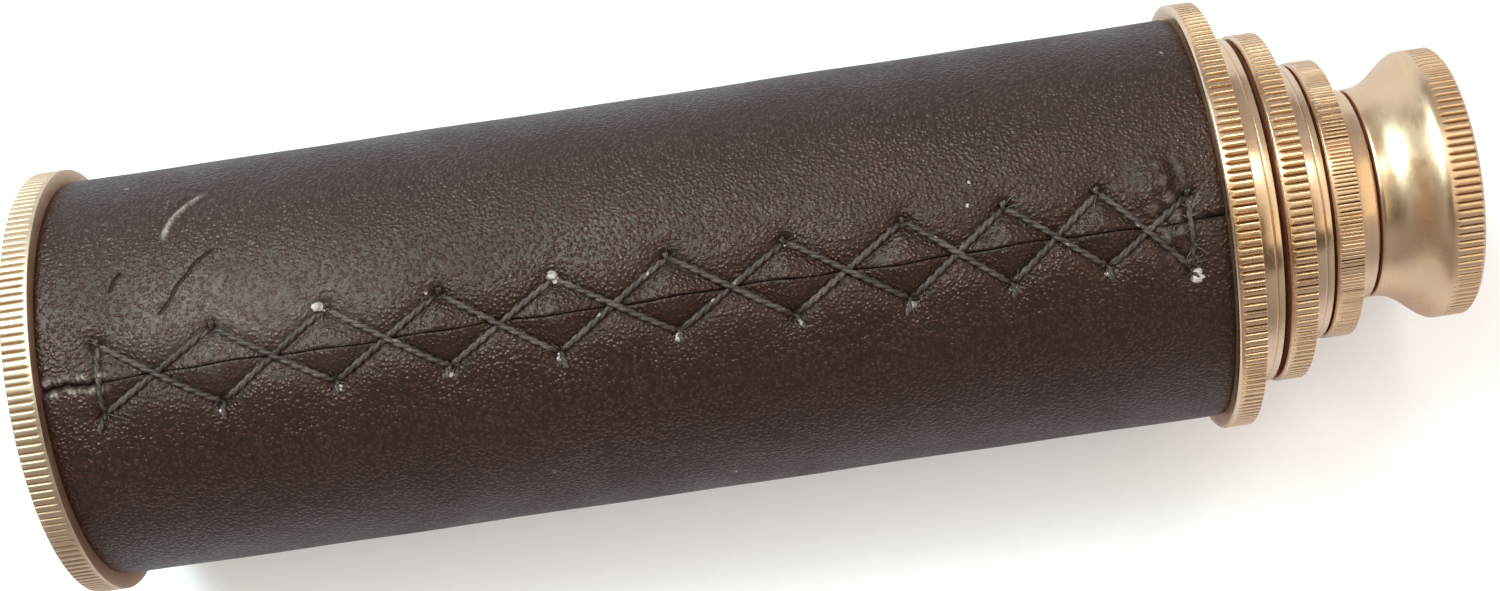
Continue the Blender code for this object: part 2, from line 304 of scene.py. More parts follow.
@dataclass(frozen=True)
class Knurl:
    """Straight knurling rolled into the top of a rim."""

    count: int
    top: float
    start: float
    end: float
    depth: float = 0.27
    entry: float = 0.45         # how far a groove takes to reach its depth at the start
    leave: float = 0.0          # and at the end; 0 lets it run off
    wander: float = 0.06
    doubled: float = 0.0        # how far a second pass of the tool missed the first
    scars: tuple[tuple[float, float], ...] = ()     # (turn in degrees, depth as a share)
    seed: int = 1
    offsets: tuple[float, ...] = (-0.32, -0.22, -0.15, -0.075, 0.0, 0.075, 0.15, 0.22, 0.32, 0.5)
    shape: tuple[float, ...] = (1.0, 0.70, 0.34, 0.11, 0.02, 0.0)

    def turns(self) -> np.ndarray:
        """The angles of the columns that follow the grooves' walls."""
        pitch = 2 * math.pi / self.count
        centres = np.arange(self.count)[:, None] + self.shift()[:, None]
        return ((centres + np.array(self.offsets)[None, :]) * pitch).reshape(-1)

    def shift(self) -> np.ndarray:
        """How far each groove has wandered from its place, in pitches."""
        rng = np.random.default_rng(self.seed)
        return rng.normal(0.0, self.wander * 0.35, self.count).clip(-0.1, 0.1)

    def stations(self) -> list[float]:
        """Where the rim needs rows of corners for the grooves to start and end cleanly."""
        rows = [self.start + self.entry * share for share in (-0.15, 0.1, 0.35, 0.6, 0.85, 1.1)]
        if self.leave > 0.0:
            rows += [self.end - self.leave * share for share in (1.1, 0.7, 0.35, 0.0)]
        return rows

    def cut(self, stations: np.ndarray) -> np.ndarray:
        """How deep the grooves are.

        Args:
            stations: one station for each row of corners.

        Returns:
            Depths in millimetres, a row for each station and a column for each turn.
        """
        rng = np.random.default_rng(self.seed + 10)
        level = 1.0 + rng.normal(0.0, self.wander, self.count)
        early = rng.normal(0.0, self.wander * 1.2, self.count)
        if self.doubled > 0.0:
            drift = np.sin(np.arange(self.count) * 2 * math.pi * self.doubled)
            level = level * (0.78 + 0.3 * drift) + rng.normal(0.0, 0.12, self.count)
        for turn, share in self.scars:
            level[int(round(turn / 360.0 * self.count)) % self.count] = share
        around = np.interp(np.abs(self.offsets), (0.0, 0.075, 0.15, 0.22, 0.32, 0.5), self.shape)
        into = (stations[:, None] - self.start - early[None, :] * 0.6) / self.entry
        ramp = np.sqrt(np.clip(into, 0.0, 1.0) * (2.0 - np.clip(into, 0.0, 1.0)))
        if self.leave > 0.0:
            out = (self.end + early[None, :] * 0.4 - stations[:, None]) / self.leave
            ramp = ramp * np.sqrt(np.clip(out, 0.0, 1.0) * (2.0 - np.clip(out, 0.0, 1.0)))
        depth = (around[None, None, :] - (1.0 - ramp)[:, :, None]).clip(0.0)
        depth = depth * (self.depth * level.clip(0.2, 2.0))[None, :, None]
        return depth.reshape(len(stations), -1)


def turned(
    name: str, outline: Outline, knurl: Knurl | None = None, columns: int = ROUND
) -> bpy.types.Object:
    """Turns a closed outline about the axis, with knurling if it has any.

    Args:
        name: the piece's name.
        outline: the outline, in stations and radii.
        knurl: the grooves rolled into its rim.
        columns: how many columns of corners a plain piece has.

    Returns:
        The turned piece, with masks for its knurl's recesses, its edges and the red painted shade
        in its gaps, for its finish.
    """
    stations, radii, edge, gap_shade = outline.rows().T
    margin = 0.5                # rows this near to the grooves can be cut by them
    if knurl:
        turns = knurl.turns()
        depth = knurl.cut(stations)
        near = (stations > knurl.start - margin) & (stations < knurl.end + margin)
        floor = np.where(near[:, None], knurl.top - depth, np.inf)
        radius = np.minimum(radii[:, None], floor)
        on_rim = near & (radii > knurl.top - 2.0 * knurl.depth)
        recess = np.where(on_rim[:, None], depth / knurl.depth, 0.0)
    else:
        turns = np.arange(columns) * 2 * math.pi / columns
        radius = np.broadcast_to(radii[:, None], (len(radii), columns))
        recess = np.zeros(radius.shape)
    points = in_space(stations[:, None], radius, turns[None, :]).reshape(-1, 3)
    masks = {
        "recess": recess.reshape(-1),
        "edge": np.repeat(edge, len(turns)),
        "gap_shade": np.repeat(gap_shade, len(turns)),
    }
    faces = [grid_faces(len(stations), len(turns), True, True)]
    return make_object(name, points, faces, masks)


def lens_body(
    name: str, front: float, back: float, radius: float, front_bulge: float, back_bulge: float
) -> bpy.types.Object:
    """Grinds a lens with two spherical faces and a narrow bevel round each.

    Args:
        name: the piece's name.
        front: station of the front face's rim.
        back: station of the back face's rim.
        radius: outside radius.
        front_bulge: how far the front face stands out in the middle.
        back_bulge: how far the back face stands out in the middle.

    Returns:
        The lens.
    """
    rings, columns, bevel = 14, 96, 0.15
    share = np.linspace(0.0, 1.0, rings + 1)[1:]
    reach = share * (radius - bevel)
    front_rows = [(front - front_bulge * (1 - k * k), r) for k, r in zip(share, reach)]
    back_rows = [(back + back_bulge * (1 - k * k), r) for k, r in zip(share, reach)]
    rows = front_rows + [(front + bevel, radius), (back - bevel, radius)] + back_rows[::-1]
    corners = swept(rows, np.arange(columns) * 2 * math.pi / columns)
    poles = in_space(np.array([front - front_bulge, back + back_bulge]), np.zeros(2), np.zeros(2))
    around = np.arange(columns)
    after = (around + 1) % columns
    last = len(corners) - columns
    front_fan = np.stack([np.full(columns, len(corners)), after, around], axis=1)
    back_fan = np.stack([np.full(columns, len(corners) + 1), last + around, last + after], axis=1)
    faces = [grid_faces(len(rows), columns, False, True), front_fan, back_fan]
    return make_object(name, np.concatenate([corners, poles]), faces)


# --------------------------------------------------------------------------- finishes


class Graph:
    """Lays out shader nodes in a material or a node group."""

    def __init__(self, tree: bpy.types.NodeTree) -> None:
        """Takes the tree that the nodes go into."""
        self.tree = tree

    def node(self, kind: str, **settings: object) -> bpy.types.Node:
        """Adds a node and sets its properties."""
        made = self.tree.nodes.new(kind)
        for key, value in settings.items():
            setattr(made, key, value)
        return made

    def join(self, source: bpy.types.NodeSocket, target: bpy.types.NodeSocket) -> None:
        """Links an output to an input."""
        self.tree.links.new(source, target)

    def feed(self, socket: bpy.types.NodeSocket, value: object) -> None:
        """Links a socket to another, or sets it to a plain value."""
        if isinstance(value, bpy.types.NodeSocket):
            self.join(value, socket)
        else:
            socket.default_value = value

    def supply(self, node: bpy.types.Node, **values: object) -> bpy.types.Node:
        """Feeds some inputs of a node, named with underscores for spaces."""
        for label, value in values.items():
            self.feed(node.inputs[label.replace("_", " ")], value)
        return node

    def math(
        self, operation: str, first: object, second: object = 0.0, clamp: bool = False
    ) -> bpy.types.NodeSocket:
        """Adds a Math node and returns its result."""
        made = self.node("ShaderNodeMath", operation=operation, use_clamp=clamp)
        self.feed(made.inputs[0], first)
        self.feed(made.inputs[1], second)
        return made.outputs[0]

    def times(self, first: object, second: object) -> bpy.types.NodeSocket:
        """Multiplies two values."""
        return self.math("MULTIPLY", first, second)

    def plus(self, first: object, *others: object) -> bpy.types.NodeSocket:
        """Adds values up."""
        for other in others:
            first = self.math("ADD", first, other)
        return first

    def remap(
        self, value: object, low: float, high: float, to_low: float, to_high: float
    ) -> bpy.types.NodeSocket:
        """Maps a span of values smoothly onto another.

        Args:
            value: what is mapped.
            low: start of the span.
            high: end of the span.
            to_low: what the start becomes.
            to_high: what the end becomes.

        Returns:
            The mapped value's socket.
        """
        made = self.node("ShaderNodeMapRange", interpolation_type="SMOOTHSTEP")
        self.supply(
            made, Value=value, From_Min=low, From_Max=high, To_Min=to_low, To_Max=to_high
        )
        return made.outputs["Result"]

    def blend(self, share: object, first: object, second: object) -> bpy.types.NodeSocket:
        """Mixes two colours and returns the result."""
        made = self.node("ShaderNodeMix", data_type="RGBA")
        self.feed(made.inputs["Factor"], share)
        self.feed(made.inputs[6], first)
        self.feed(made.inputs[7], second)
        return made.outputs[2]

    def noise(
        self, vector: object, scale: object, detail: float = 3.0, rough: float = 0.5
    ) -> bpy.types.NodeSocket:
        """Adds a Noise texture and returns its value."""
        made = self.node("ShaderNodeTexNoise")
        self.supply(made, Vector=vector, Scale=scale, Detail=detail, Roughness=rough)
        return made.outputs["Fac"]

    def cells(self, vector: object, scale: object, feature: str = "F1") -> bpy.types.Node:
        """Adds a Voronoi texture and returns its node."""
        made = self.node("ShaderNodeTexVoronoi", feature=feature)
        return self.supply(made, Vector=vector, Scale=scale)

    def stretched(self, vector: object, scale: Place) -> bpy.types.NodeSocket:
        """Scales a vector by axis and returns the result."""
        made = self.node("ShaderNodeVectorMath", operation="MULTIPLY")
        self.feed(made.inputs[0], vector)
        made.inputs[1].default_value = scale
        return made.outputs[0]

    def place(self) -> bpy.types.NodeSocket:
        """The point on the piece, in metres."""
        return self.node("ShaderNodeTexCoord").outputs["Object"]

    def mask(self, name: str) -> bpy.types.NodeSocket:
        """A value that the mesh holds for each of its corners."""
        return self.node("ShaderNodeAttribute", attribute_name=name).outputs["Fac"]

    def bump(
        self, height: object, strength: float, distance: float, normal: object = None
    ) -> bpy.types.NodeSocket:
        """Adds a Bump node, over another's normal if there is one, and returns its normal."""
        made = self.node("ShaderNodeBump")
        self.supply(made, Strength=strength, Distance=distance, Height=height)
        if normal is not None:
            self.join(normal, made.inputs["Normal"])
        return made.outputs["Normal"]


class SharedGroup:
    """A node group that several finishes use, built the first time it is asked for."""

    name = "shared"
    inputs: tuple[tuple[str, str, object], ...] = ()
    outputs: tuple[tuple[str, str], ...] = ()

    @classmethod
    def tree(cls) -> bpy.types.NodeTree:
        """The group's tree, made once."""
        found = bpy.data.node_groups.get(cls.name)
        if found:
            return found
        tree = bpy.data.node_groups.new(cls.name, "ShaderNodeTree")
        for label, kind, default in cls.inputs:
            socket = tree.interface.new_socket(label, in_out="INPUT", socket_type=kind)
            socket.default_value = default
        for label, kind in cls.outputs:
            tree.interface.new_socket(label, in_out="OUTPUT", socket_type=kind)
        graph = Graph(tree)
        source = graph.node("NodeGroupInput")
        target = graph.node("NodeGroupOutput")
        cls.fill(graph, source, target)
        return tree

    @classmethod
    def fill(cls, graph: Graph, source: bpy.types.Node, target: bpy.types.Node) -> None:
        """Adds the group's nodes between its inputs and outputs."""
        raise NotImplementedError

    @classmethod
    def use(cls, graph: Graph, **values: object) -> bpy.types.Node:
        """Places the group in a material.

        Args:
            graph: where the group goes.
            values: what its inputs take, with spaces written as underscores.

        Returns:
            The group's node.
        """
        return graph.supply(graph.node("ShaderNodeGroup", node_tree=cls.tree()), **values)


class HandSmudges(SharedGroup):
    """Soft patches left by handling, and the fine hairline scratches over them."""

    name = "hand_smudges"
    inputs = (
        ("Patch Scale", "NodeSocketFloat", 140.0),
        ("Scratch Scale", "NodeSocketFloat", 900.0),
    )
    outputs = (("Patches", "NodeSocketFloat"), ("Scratches", "NodeSocketFloat"))

    @classmethod
    def fill(cls, graph: Graph, source: bpy.types.Node, target: bpy.types.Node) -> None:
        """Adds patches from layered noise and scratches from thin stretched noise."""
        place = graph.place()
        broad = graph.noise(place, source.outputs["Patch Scale"], 4.0, 0.62)
        patches = graph.remap(broad, 0.38, 0.68, 0.0, 1.0)
        swirl = graph.noise(place, 60.0, 1.0)
        bent = graph.node("ShaderNodeVectorMath", operation="ADD")
        graph.join(graph.stretched(place, (1.0, 0.12, 0.12)), bent.inputs[0])
        shift = graph.node("ShaderNodeCombineXYZ")
        graph.join(graph.times(swirl, 0.004), shift.inputs["X"])
        graph.join(shift.outputs[0], bent.inputs[1])
        hair = graph.noise(bent.outputs[0], source.outputs["Scratch Scale"], 2.0, 0.7)
        ridge = graph.math("ABSOLUTE", graph.math("SUBTRACT", hair, 0.5))
        scratches = graph.remap(ridge, 0.0, 0.025, 1.0, 0.0)
        graph.supply(target, Patches=patches, Scratches=scratches)


class EdgeWear(SharedGroup):
    """Where rims and ridges have been rubbed bright."""

    name = "edge_wear"
    inputs = (("Edge", "NodeSocketFloat", 0.0), ("Scale", "NodeSocketFloat", 400.0))
    outputs = (("Worn", "NodeSocketFloat"),)

    @classmethod
    def fill(cls, graph: Graph, source: bpy.types.Node, target: bpy.types.Node) -> None:
        """Breaks the edge mask up with noise."""
        broken = graph.noise(graph.place(), source.outputs["Scale"], 4.0, 0.6)
        level = graph.remap(broken, 0.3, 0.65, 0.35, 1.0)
        graph.supply(target, Worn=graph.times(level, source.outputs["Edge"]))


class TarnishAndGapShade(SharedGroup):
    """Brown oxide that gathers in grooves, and red painted shade in gaps, standing in for light
    bounced many times between parts.
    """

    name = "tarnish_and_gap_shade"
    inputs = (
        ("Recess", "NodeSocketFloat", 0.0),
        ("Grime", "NodeSocketFloat", 0.0),
        ("Clean", "NodeSocketColor", (0.8, 0.6, 0.4, 1.0)),
        ("Brown", "NodeSocketColor", (0.4, 0.2, 0.08, 1.0)),
        ("Red", "NodeSocketColor", (0.2, 0.03, 0.01, 1.0)),
    )
    outputs = (("Color", "NodeSocketColor"), ("Amount", "NodeSocketFloat"))

    @classmethod
    def fill(cls, graph: Graph, source: bpy.types.Node, target: bpy.types.Node) -> None:
        """Mixes the clean metal towards brown oxide in recesses and towards red painted shade in
        gaps.
        """
        place = graph.place()
        uneven = graph.remap(graph.noise(place, 260.0, 3.0), 0.3, 0.7, 0.72, 1.0)
        fine = graph.remap(graph.noise(place, 1500.0, 2.0), 0.3, 0.7, 0.85, 1.1)
        recess = graph.remap(source.outputs["Recess"], 0.1, 0.95, 0.0, 1.0)
        recess = graph.times(recess, uneven)
        # painted shade: the gap mask turns the metal red, standing in for light bounced deep in
        # gaps
        gap_shade = graph.math("MULTIPLY", source.outputs["Grime"], fine, True)
        brown = graph.blend(recess, source.outputs["Clean"], source.outputs["Brown"])
        tone = graph.blend(gap_shade, brown, source.outputs["Red"])
        graph.supply(target, Color=tone, Amount=graph.math("MAXIMUM", recess, gap_shade))


class CutLines(SharedGroup):
    """Fine tool marks: rings left by a lathe, or lines left by a drawing die."""

    name = "cut_lines"
    inputs = (("Along", "NodeSocketFloat", 1.0),)
    outputs = (("Height", "NodeSocketFloat"),)

    @classmethod
    def fill(cls, graph: Graph, source: bpy.types.Node, target: bpy.types.Node) -> None:
        """Makes noise that runs round the axis or along it."""
        place = graph.place()
        parts = graph.node("ShaderNodeSeparateXYZ")
        graph.join(place, parts.inputs[0])
        height = graph.math("SUBTRACT", parts.outputs["Z"], AXIS_HEIGHT * MM)
        across = parts.outputs["Y"]
        square = graph.plus(graph.times(height, height), graph.times(across, across))
        radius = graph.math("SQRT", square)
        ringed = graph.node("ShaderNodeCombineXYZ")
        graph.join(parts.outputs["X"], ringed.inputs["X"])
        graph.join(radius, ringed.inputs["Y"])
        rings = graph.noise(graph.stretched(ringed.outputs[0], (1.0, 1.0, 0.0)), 5200.0, 2.0, 0.6)
        drawn = graph.noise(graph.stretched(place, (0.02, 1.0, 1.0)), 2600.0, 2.0, 0.6)
        level = graph.node("ShaderNodeMix", data_type="FLOAT")
        graph.join(source.outputs["Along"], level.inputs["Factor"])
        graph.join(rings, level.inputs[2])
        graph.join(drawn, level.inputs[3])
        graph.join(level.outputs[0], target.inputs["Height"])


class HideGrain(SharedGroup):
    """Pebbled grain of smooth cowhide, with finer pores between."""

    name = "hide_grain"
    inputs = (("Pebble Scale", "NodeSocketFloat", 2300.0),)
    outputs = (("Height", "NodeSocketFloat"), ("Valleys", "NodeSocketFloat"))

    @classmethod
    def fill(cls, graph: Graph, source: bpy.types.Node, target: bpy.types.Node) -> None:
        """Builds rounded pebbles of uneven size, with worm-like folds between."""
        place = graph.place()
        warp = graph.noise(place, 700.0, 2.0)
        offset = graph.node("ShaderNodeVectorMath", operation="SCALE")
        graph.join(place, offset.inputs[0])
        graph.join(graph.remap(warp, 0.0, 1.0, 0.994, 1.006), offset.inputs["Scale"])
        cell = graph.cells(offset.outputs[0], source.outputs["Pebble Scale"], "SMOOTH_F1")
        cell.inputs["Smoothness"].default_value = 0.35
        dome = graph.remap(cell.outputs["Distance"], 0.05, 0.62, 1.0, 0.0)
        folds = graph.noise(offset.outputs[0], 2700.0, 2.0, 0.5)
        uneven = graph.noise(place, 420.0, 3.0)
        height = graph.plus(
            graph.times(dome, 0.6), graph.times(folds, 0.8), graph.times(uneven, 0.4)
        )
        # valleys: where the hide finish paints shade between the pebbles
        valleys = graph.remap(dome, 0.0, 0.45, 1.0, 0.0)
        graph.supply(target, Height=height, Valleys=valleys)


class DustSpecks(SharedGroup):
    """Sparse pale specks and short hairs of dust."""

    name = "dust_specks"
    inputs = (("Scale", "NodeSocketFloat", 220.0), ("Size", "NodeSocketFloat", 0.05))
    outputs = (("Mask", "NodeSocketFloat"),)

    @classmethod
    def fill(cls, graph: Graph, source: bpy.types.Node, target: bpy.types.Node) -> None:
        """Keeps only the middle of a few cells."""
        place = graph.place()
        cell = graph.cells(place, source.outputs["Scale"])
        near = graph.math("LESS_THAN", cell.outputs["Distance"], source.outputs["Size"])
        split = graph.node("ShaderNodeSeparateXYZ")
        graph.join(cell.outputs["Color"], split.inputs[0])
        rare = graph.math("GREATER_THAN", split.outputs["X"], 0.72)
        ragged = graph.remap(graph.noise(place, 4500.0, 2.0), 0.4, 0.62, 0.0, 1.0)
        graph.supply(target, Mask=graph.times(graph.times(near, rare), ragged))


def new_material(name: str) -> tuple[bpy.types.Material, Graph, bpy.types.Node]:
    """Starts a material.

    Args:
        name: the finish's name.

    Returns:
        The material, its graph and its Principled shader.
    """
    made = bpy.data.materials.new(name)
    made.use_nodes = True
    return made, Graph(made.node_tree), made.node_tree.nodes["Principled BSDF"]


class Finish:
    """What a piece is made of; its material is built once, when the first piece asks for it."""

    name: str

    def material(self) -> bpy.types.Material:
        """The finish's material."""
        found = bpy.data.materials.get(self.name)
        if found:
            return found
        made, graph, shader = new_material(self.name)
        self.paint(graph, shader)
        return made

    def paint(self, graph: Graph, shader: bpy.types.Node) -> None:
        """Lays out the nodes that feed the Principled shader."""
        raise NotImplementedError


class Working(Enum):
    """How a metal piece was made, which sets the way that its tool marks run."""

    TURNED = 0.0
    DRAWN = 1.0


@dataclass(frozen=True)
class Brass(Finish):
    """Polished yellow brass, handled, lightly tarnished, and given red painted shade in its gaps.
    """

    name: str = "polished_brass"
    working: Working = Working.TURNED
    clean: Colour = (0.80, 0.553, 0.340, 1.0)
    pale: Colour = (0.88, 0.676, 0.520, 1.0)
    brown: Colour = (0.25, 0.120, 0.035, 1.0)
    # painted shade: the red laid into gaps in place of light bounced there
    shade_red: Colour = (0.36, 0.070, 0.022, 1.0)
    roughness: float = 0.20
    marks: float = 0.06

    def paint(self, graph: Graph, shader: bpy.types.Node) -> None:
        """Smudges and wears the clean metal, tarnishes its grooves and paints red shade into its
        gaps.
        """
        patches, scratches = HandSmudges.use(graph).outputs
        worn = EdgeWear.use(graph, Edge=graph.mask("edge")).outputs["Worn"]
        tone = graph.blend(graph.times(patches, 0.35), self.clean, self.pale)
        bright = graph.blend(graph.times(worn, 0.7), tone, self.pale)
        gap_shade = graph.mask("gap_shade")
        tarnish_and_gap_shade = TarnishAndGapShade.use(
            graph,
            Recess=graph.mask("recess"),
            Grime=gap_shade,
            Clean=bright,
            Brown=self.brown,
            Red=self.shade_red,
        )
        dulling = graph.plus(
            graph.times(patches, 0.13),
            graph.times(scratches, 0.06),
            self.roughness,
            graph.times(tarnish_and_gap_shade.outputs["Amount"], 0.22),
        )
        lines = CutLines.use(graph, Along=self.working.value)
        uneven = graph.bump(graph.noise(graph.place(), 350.0, 2.0), 0.20, 0.00010)
        graph.supply(
            shader,
            Base_Color=tarnish_and_gap_shade.outputs["Color"],
            # painted shade: the gap mask also makes the metal less metallic
            Metallic=graph.remap(gap_shade, 0.15, 0.9, 1.0, 0.4),
            Roughness=dulling,
            Normal=graph.bump(lines.outputs["Height"], self.marks, 0.00003, uneven),
        )


@dataclass(frozen=True)
class BlackenedBrass(Finish):
    """Brass turned matt black inside an instrument, worn through on its edges."""

    name: str = "blackened_brass_finish"
    black: Colour = (0.020, 0.019, 0.018, 1.0)
    grey: Colour = (0.055, 0.050, 0.045, 1.0)
    metal: Colour = (0.50, 0.34, 0.18, 1.0)

    def paint(self, graph: Graph, shader: bpy.types.Node) -> None:
        """Lets the metal show through the black where edges are worn."""
        patches = HandSmudges.use(graph, Patch_Scale=300.0).outputs["Patches"]
        worn = EdgeWear.use(graph, Edge=graph.mask("edge"), Scale=700.0).outputs["Worn"]
        tone = graph.blend(patches, self.black, self.grey)
        through = graph.times(graph.remap(worn, 0.55, 0.95, 0.0, 1.0), 0.7)
        lines = CutLines.use(graph, Along=Working.TURNED.value)
        graph.supply(
            shader,
            Base_Color=graph.blend(through, tone, self.metal),
            Metallic=graph.remap(worn, 0.4, 0.9, 0.35, 0.95),
            Roughness=graph.remap(patches, 0.0, 1.0, 0.62, 0.45),
            Normal=graph.bump(lines.outputs["Height"], 0.3, 0.00004),
        )


@dataclass(frozen=True)
class Glass(Finish):
    """Polished lens glass with a faint film of handling."""

    name: str = "lens_glass"
    tint: Colour = (0.93, 0.97, 0.98, 1.0)
    film: Colour = (0.86, 0.92, 0.93, 1.0)

    def paint(self, graph: Graph, shader: bpy.types.Node) -> None:
        """Lays a film of handling over clear glass."""
        patches = HandSmudges.use(graph, Patch_Scale=180.0).outputs["Patches"]
        graph.supply(
            shader,
            Base_Color=graph.blend(patches, self.tint, self.film),
            Metallic=0.0,
            Transmission_Weight=1.0,
            IOR=1.52,
            Roughness=graph.remap(patches, 0.0, 1.0, 0.015, 0.06),
        )


@dataclass(frozen=True)
class Hide(Finish):
    """Dark chocolate cowhide, waxed, scuffed and a little dusty."""

    name: str = "chocolate_hide"
    # deep: the darkest tone, for mottling and for painted shade in valleys, creases and cuts
    deep: Colour = (0.006, 0.0032, 0.0028, 1.0)
    body: Colour = (0.021, 0.0072, 0.0048, 1.0)
    warm: Colour = (0.032, 0.0110, 0.0078, 1.0)
    scuff: Colour = (0.30, 0.25, 0.225, 1.0)
    dust: Colour = (0.55, 0.50, 0.47, 1.0)
    wax: Colour = (1.0, 0.71, 0.61, 1.0)
    roughness: float = 0.33

    def paint(self, graph: Graph, shader: bpy.types.Node) -> None:
        """Darkens in mottled patches, paints shade into the grain's valleys, the creases and the
        cuts, then adds scuffs, dust and an uneven shine.
        """
        place = graph.place()
        grain = HideGrain.use(graph)
        height, valleys = grain.outputs
        crease = graph.mask("crease")
        # painted shade: a crisp dark line along each knife cut
        cut = graph.remap(graph.mask("cut"), 0.70, 0.88, 0.0, 1.0)
        clouds = graph.remap(graph.noise(place, 70.0, 5.0, 0.62), 0.3, 0.7, 0.0, 1.0)
        mottled = graph.remap(graph.noise(place, 900.0, 3.0, 0.6), 0.35, 0.65, 0.0, 1.0)
        tone = graph.blend(clouds, self.body, self.warm)
        # painted shade in the grain's valleys, the creases and the cuts; the mottling is the hide's
        # own uneven tone
        for shade in (graph.times(mottled, 0.4), graph.times(valleys, 0.75), crease, cut):
            tone = graph.blend(shade, tone, self.deep)
        rubbed = graph.times(graph.mask("scuff"), graph.remap(mottled, 0.0, 1.0, 0.45, 1.0))
        tone = graph.blend(rubbed, tone, self.scuff)
        dusty = graph.times(DustSpecks.use(graph).outputs["Mask"], 0.8)
        shine = graph.remap(graph.noise(place, 110.0, 4.0, 0.6), 0.3, 0.7, -0.05, 0.08)
        dulling = (graph.times(valleys, 0.15), graph.times(crease, 0.45), graph.times(cut, 0.4))
        soft = graph.bump(graph.noise(place, 260.0, 3.0, 0.5), 0.5, 0.00022)
        level = graph.math("SUBTRACT", height, graph.times(cut, 1.6))
        graph.supply(
            shader,
            Base_Color=graph.blend(dusty, tone, self.dust),
            Roughness=graph.plus(shine, self.roughness, *dulling),
            Specular_IOR_Level=0.62,
            Specular_Tint=self.wax,
            Normal=graph.bump(level, 1.0, 0.00016, soft),
        )


@dataclass(frozen=True)
class Lace(Finish):
    """Waxed sewing thread, brown like the hide but with paler rubbed fibres."""

    name: str = "waxed_thread"
    dark: Colour = (0.034, 0.0215, 0.0175, 1.0)
    rubbed: Colour = (0.150, 0.110, 0.092, 1.0)
    dust: Colour = (0.42, 0.37, 0.33, 1.0)

    def paint(self, graph: Graph, shader: bpy.types.Node) -> None:
        """Pales the fibres in patches, and adds dust."""
        place = graph.place()
        fibres = graph.noise(graph.stretched(place, (1.0, 2.6, 1.0)), 4200.0, 3.0, 0.65)
        patches = graph.remap(graph.noise(place, 420.0, 3.0), 0.35, 0.7, 0.0, 1.0)
        paled = graph.times(graph.remap(fibres, 0.35, 0.7, 0.0, 1.0), patches)
        dusty = graph.times(DustSpecks.use(graph, Scale=700.0, Size=0.22).outputs["Mask"], 0.7)
        graph.supply(
            shader,
            Base_Color=graph.blend(dusty, graph.blend(paled, self.dark, self.rubbed), self.dust),
            Roughness=graph.remap(patches, 0.0, 1.0, 0.5, 0.7),
            Normal=graph.bump(fibres, 0.6, 0.00006),
        )


@dataclass(frozen=True)
class Wax(Finish):
    """Pale crumbs of thread wax pressed round the holes."""

    name: str = "wax_crumbs_finish"
    pale: Colour = (0.45, 0.41, 0.385, 1.0)
    soiled: Colour = (0.20, 0.155, 0.135, 1.0)

    def paint(self, graph: Graph, shader: bpy.types.Node) -> None:
        """Soils the pale wax in spots."""
        place = graph.place()
        dirt = graph.remap(graph.noise(place, 1700.0, 4.0, 0.6), 0.4, 0.62, 0.0, 1.0)
        graph.supply(
            shader,
            Base_Color=graph.blend(dirt, self.pale, self.soiled),
            Roughness=graph.remap(dirt, 0.0, 1.0, 0.5, 0.75),
            Normal=graph.bump(graph.noise(place, 3800.0, 3.0), 0.7, 0.00008),
        )


TURNED_BRASS = Brass()
HANDLED_BRASS = Brass(
    "handled_brass", clean=(0.63, 0.460, 0.320, 1.0), brown=(0.42, 0.24, 0.11, 1.0), roughness=0.46
)
SPUN_BRASS = Brass("spun_brass", roughness=0.27)
DRAWN_BRASS = Brass("drawn_brass", working=Working.DRAWN, roughness=0.19, marks=0.10)


def settle(
    piece: bpy.types.Object, finish: Finish, body: str, slot: str, *nodes: str
) -> None:
    """Dresses a piece and gives it its place in the frame.

    Args:
        piece: the new piece.
        finish: what it is made of.
        body: the body that carries it.
        slot: not used.
        nodes: the plain solids that it stands for.
    """
    piece.data.materials.append(finish.material())
    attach(piece, body)
    if nodes:
        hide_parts(*nodes)
    LOG.info("%s: %d faces on %s", piece.name, len(piece.data.polygons), body)


PLIES = (0.0, math.pi)      # where the two plies of the lace start


# --------------------------------------------------------------------------- sub-assemblies


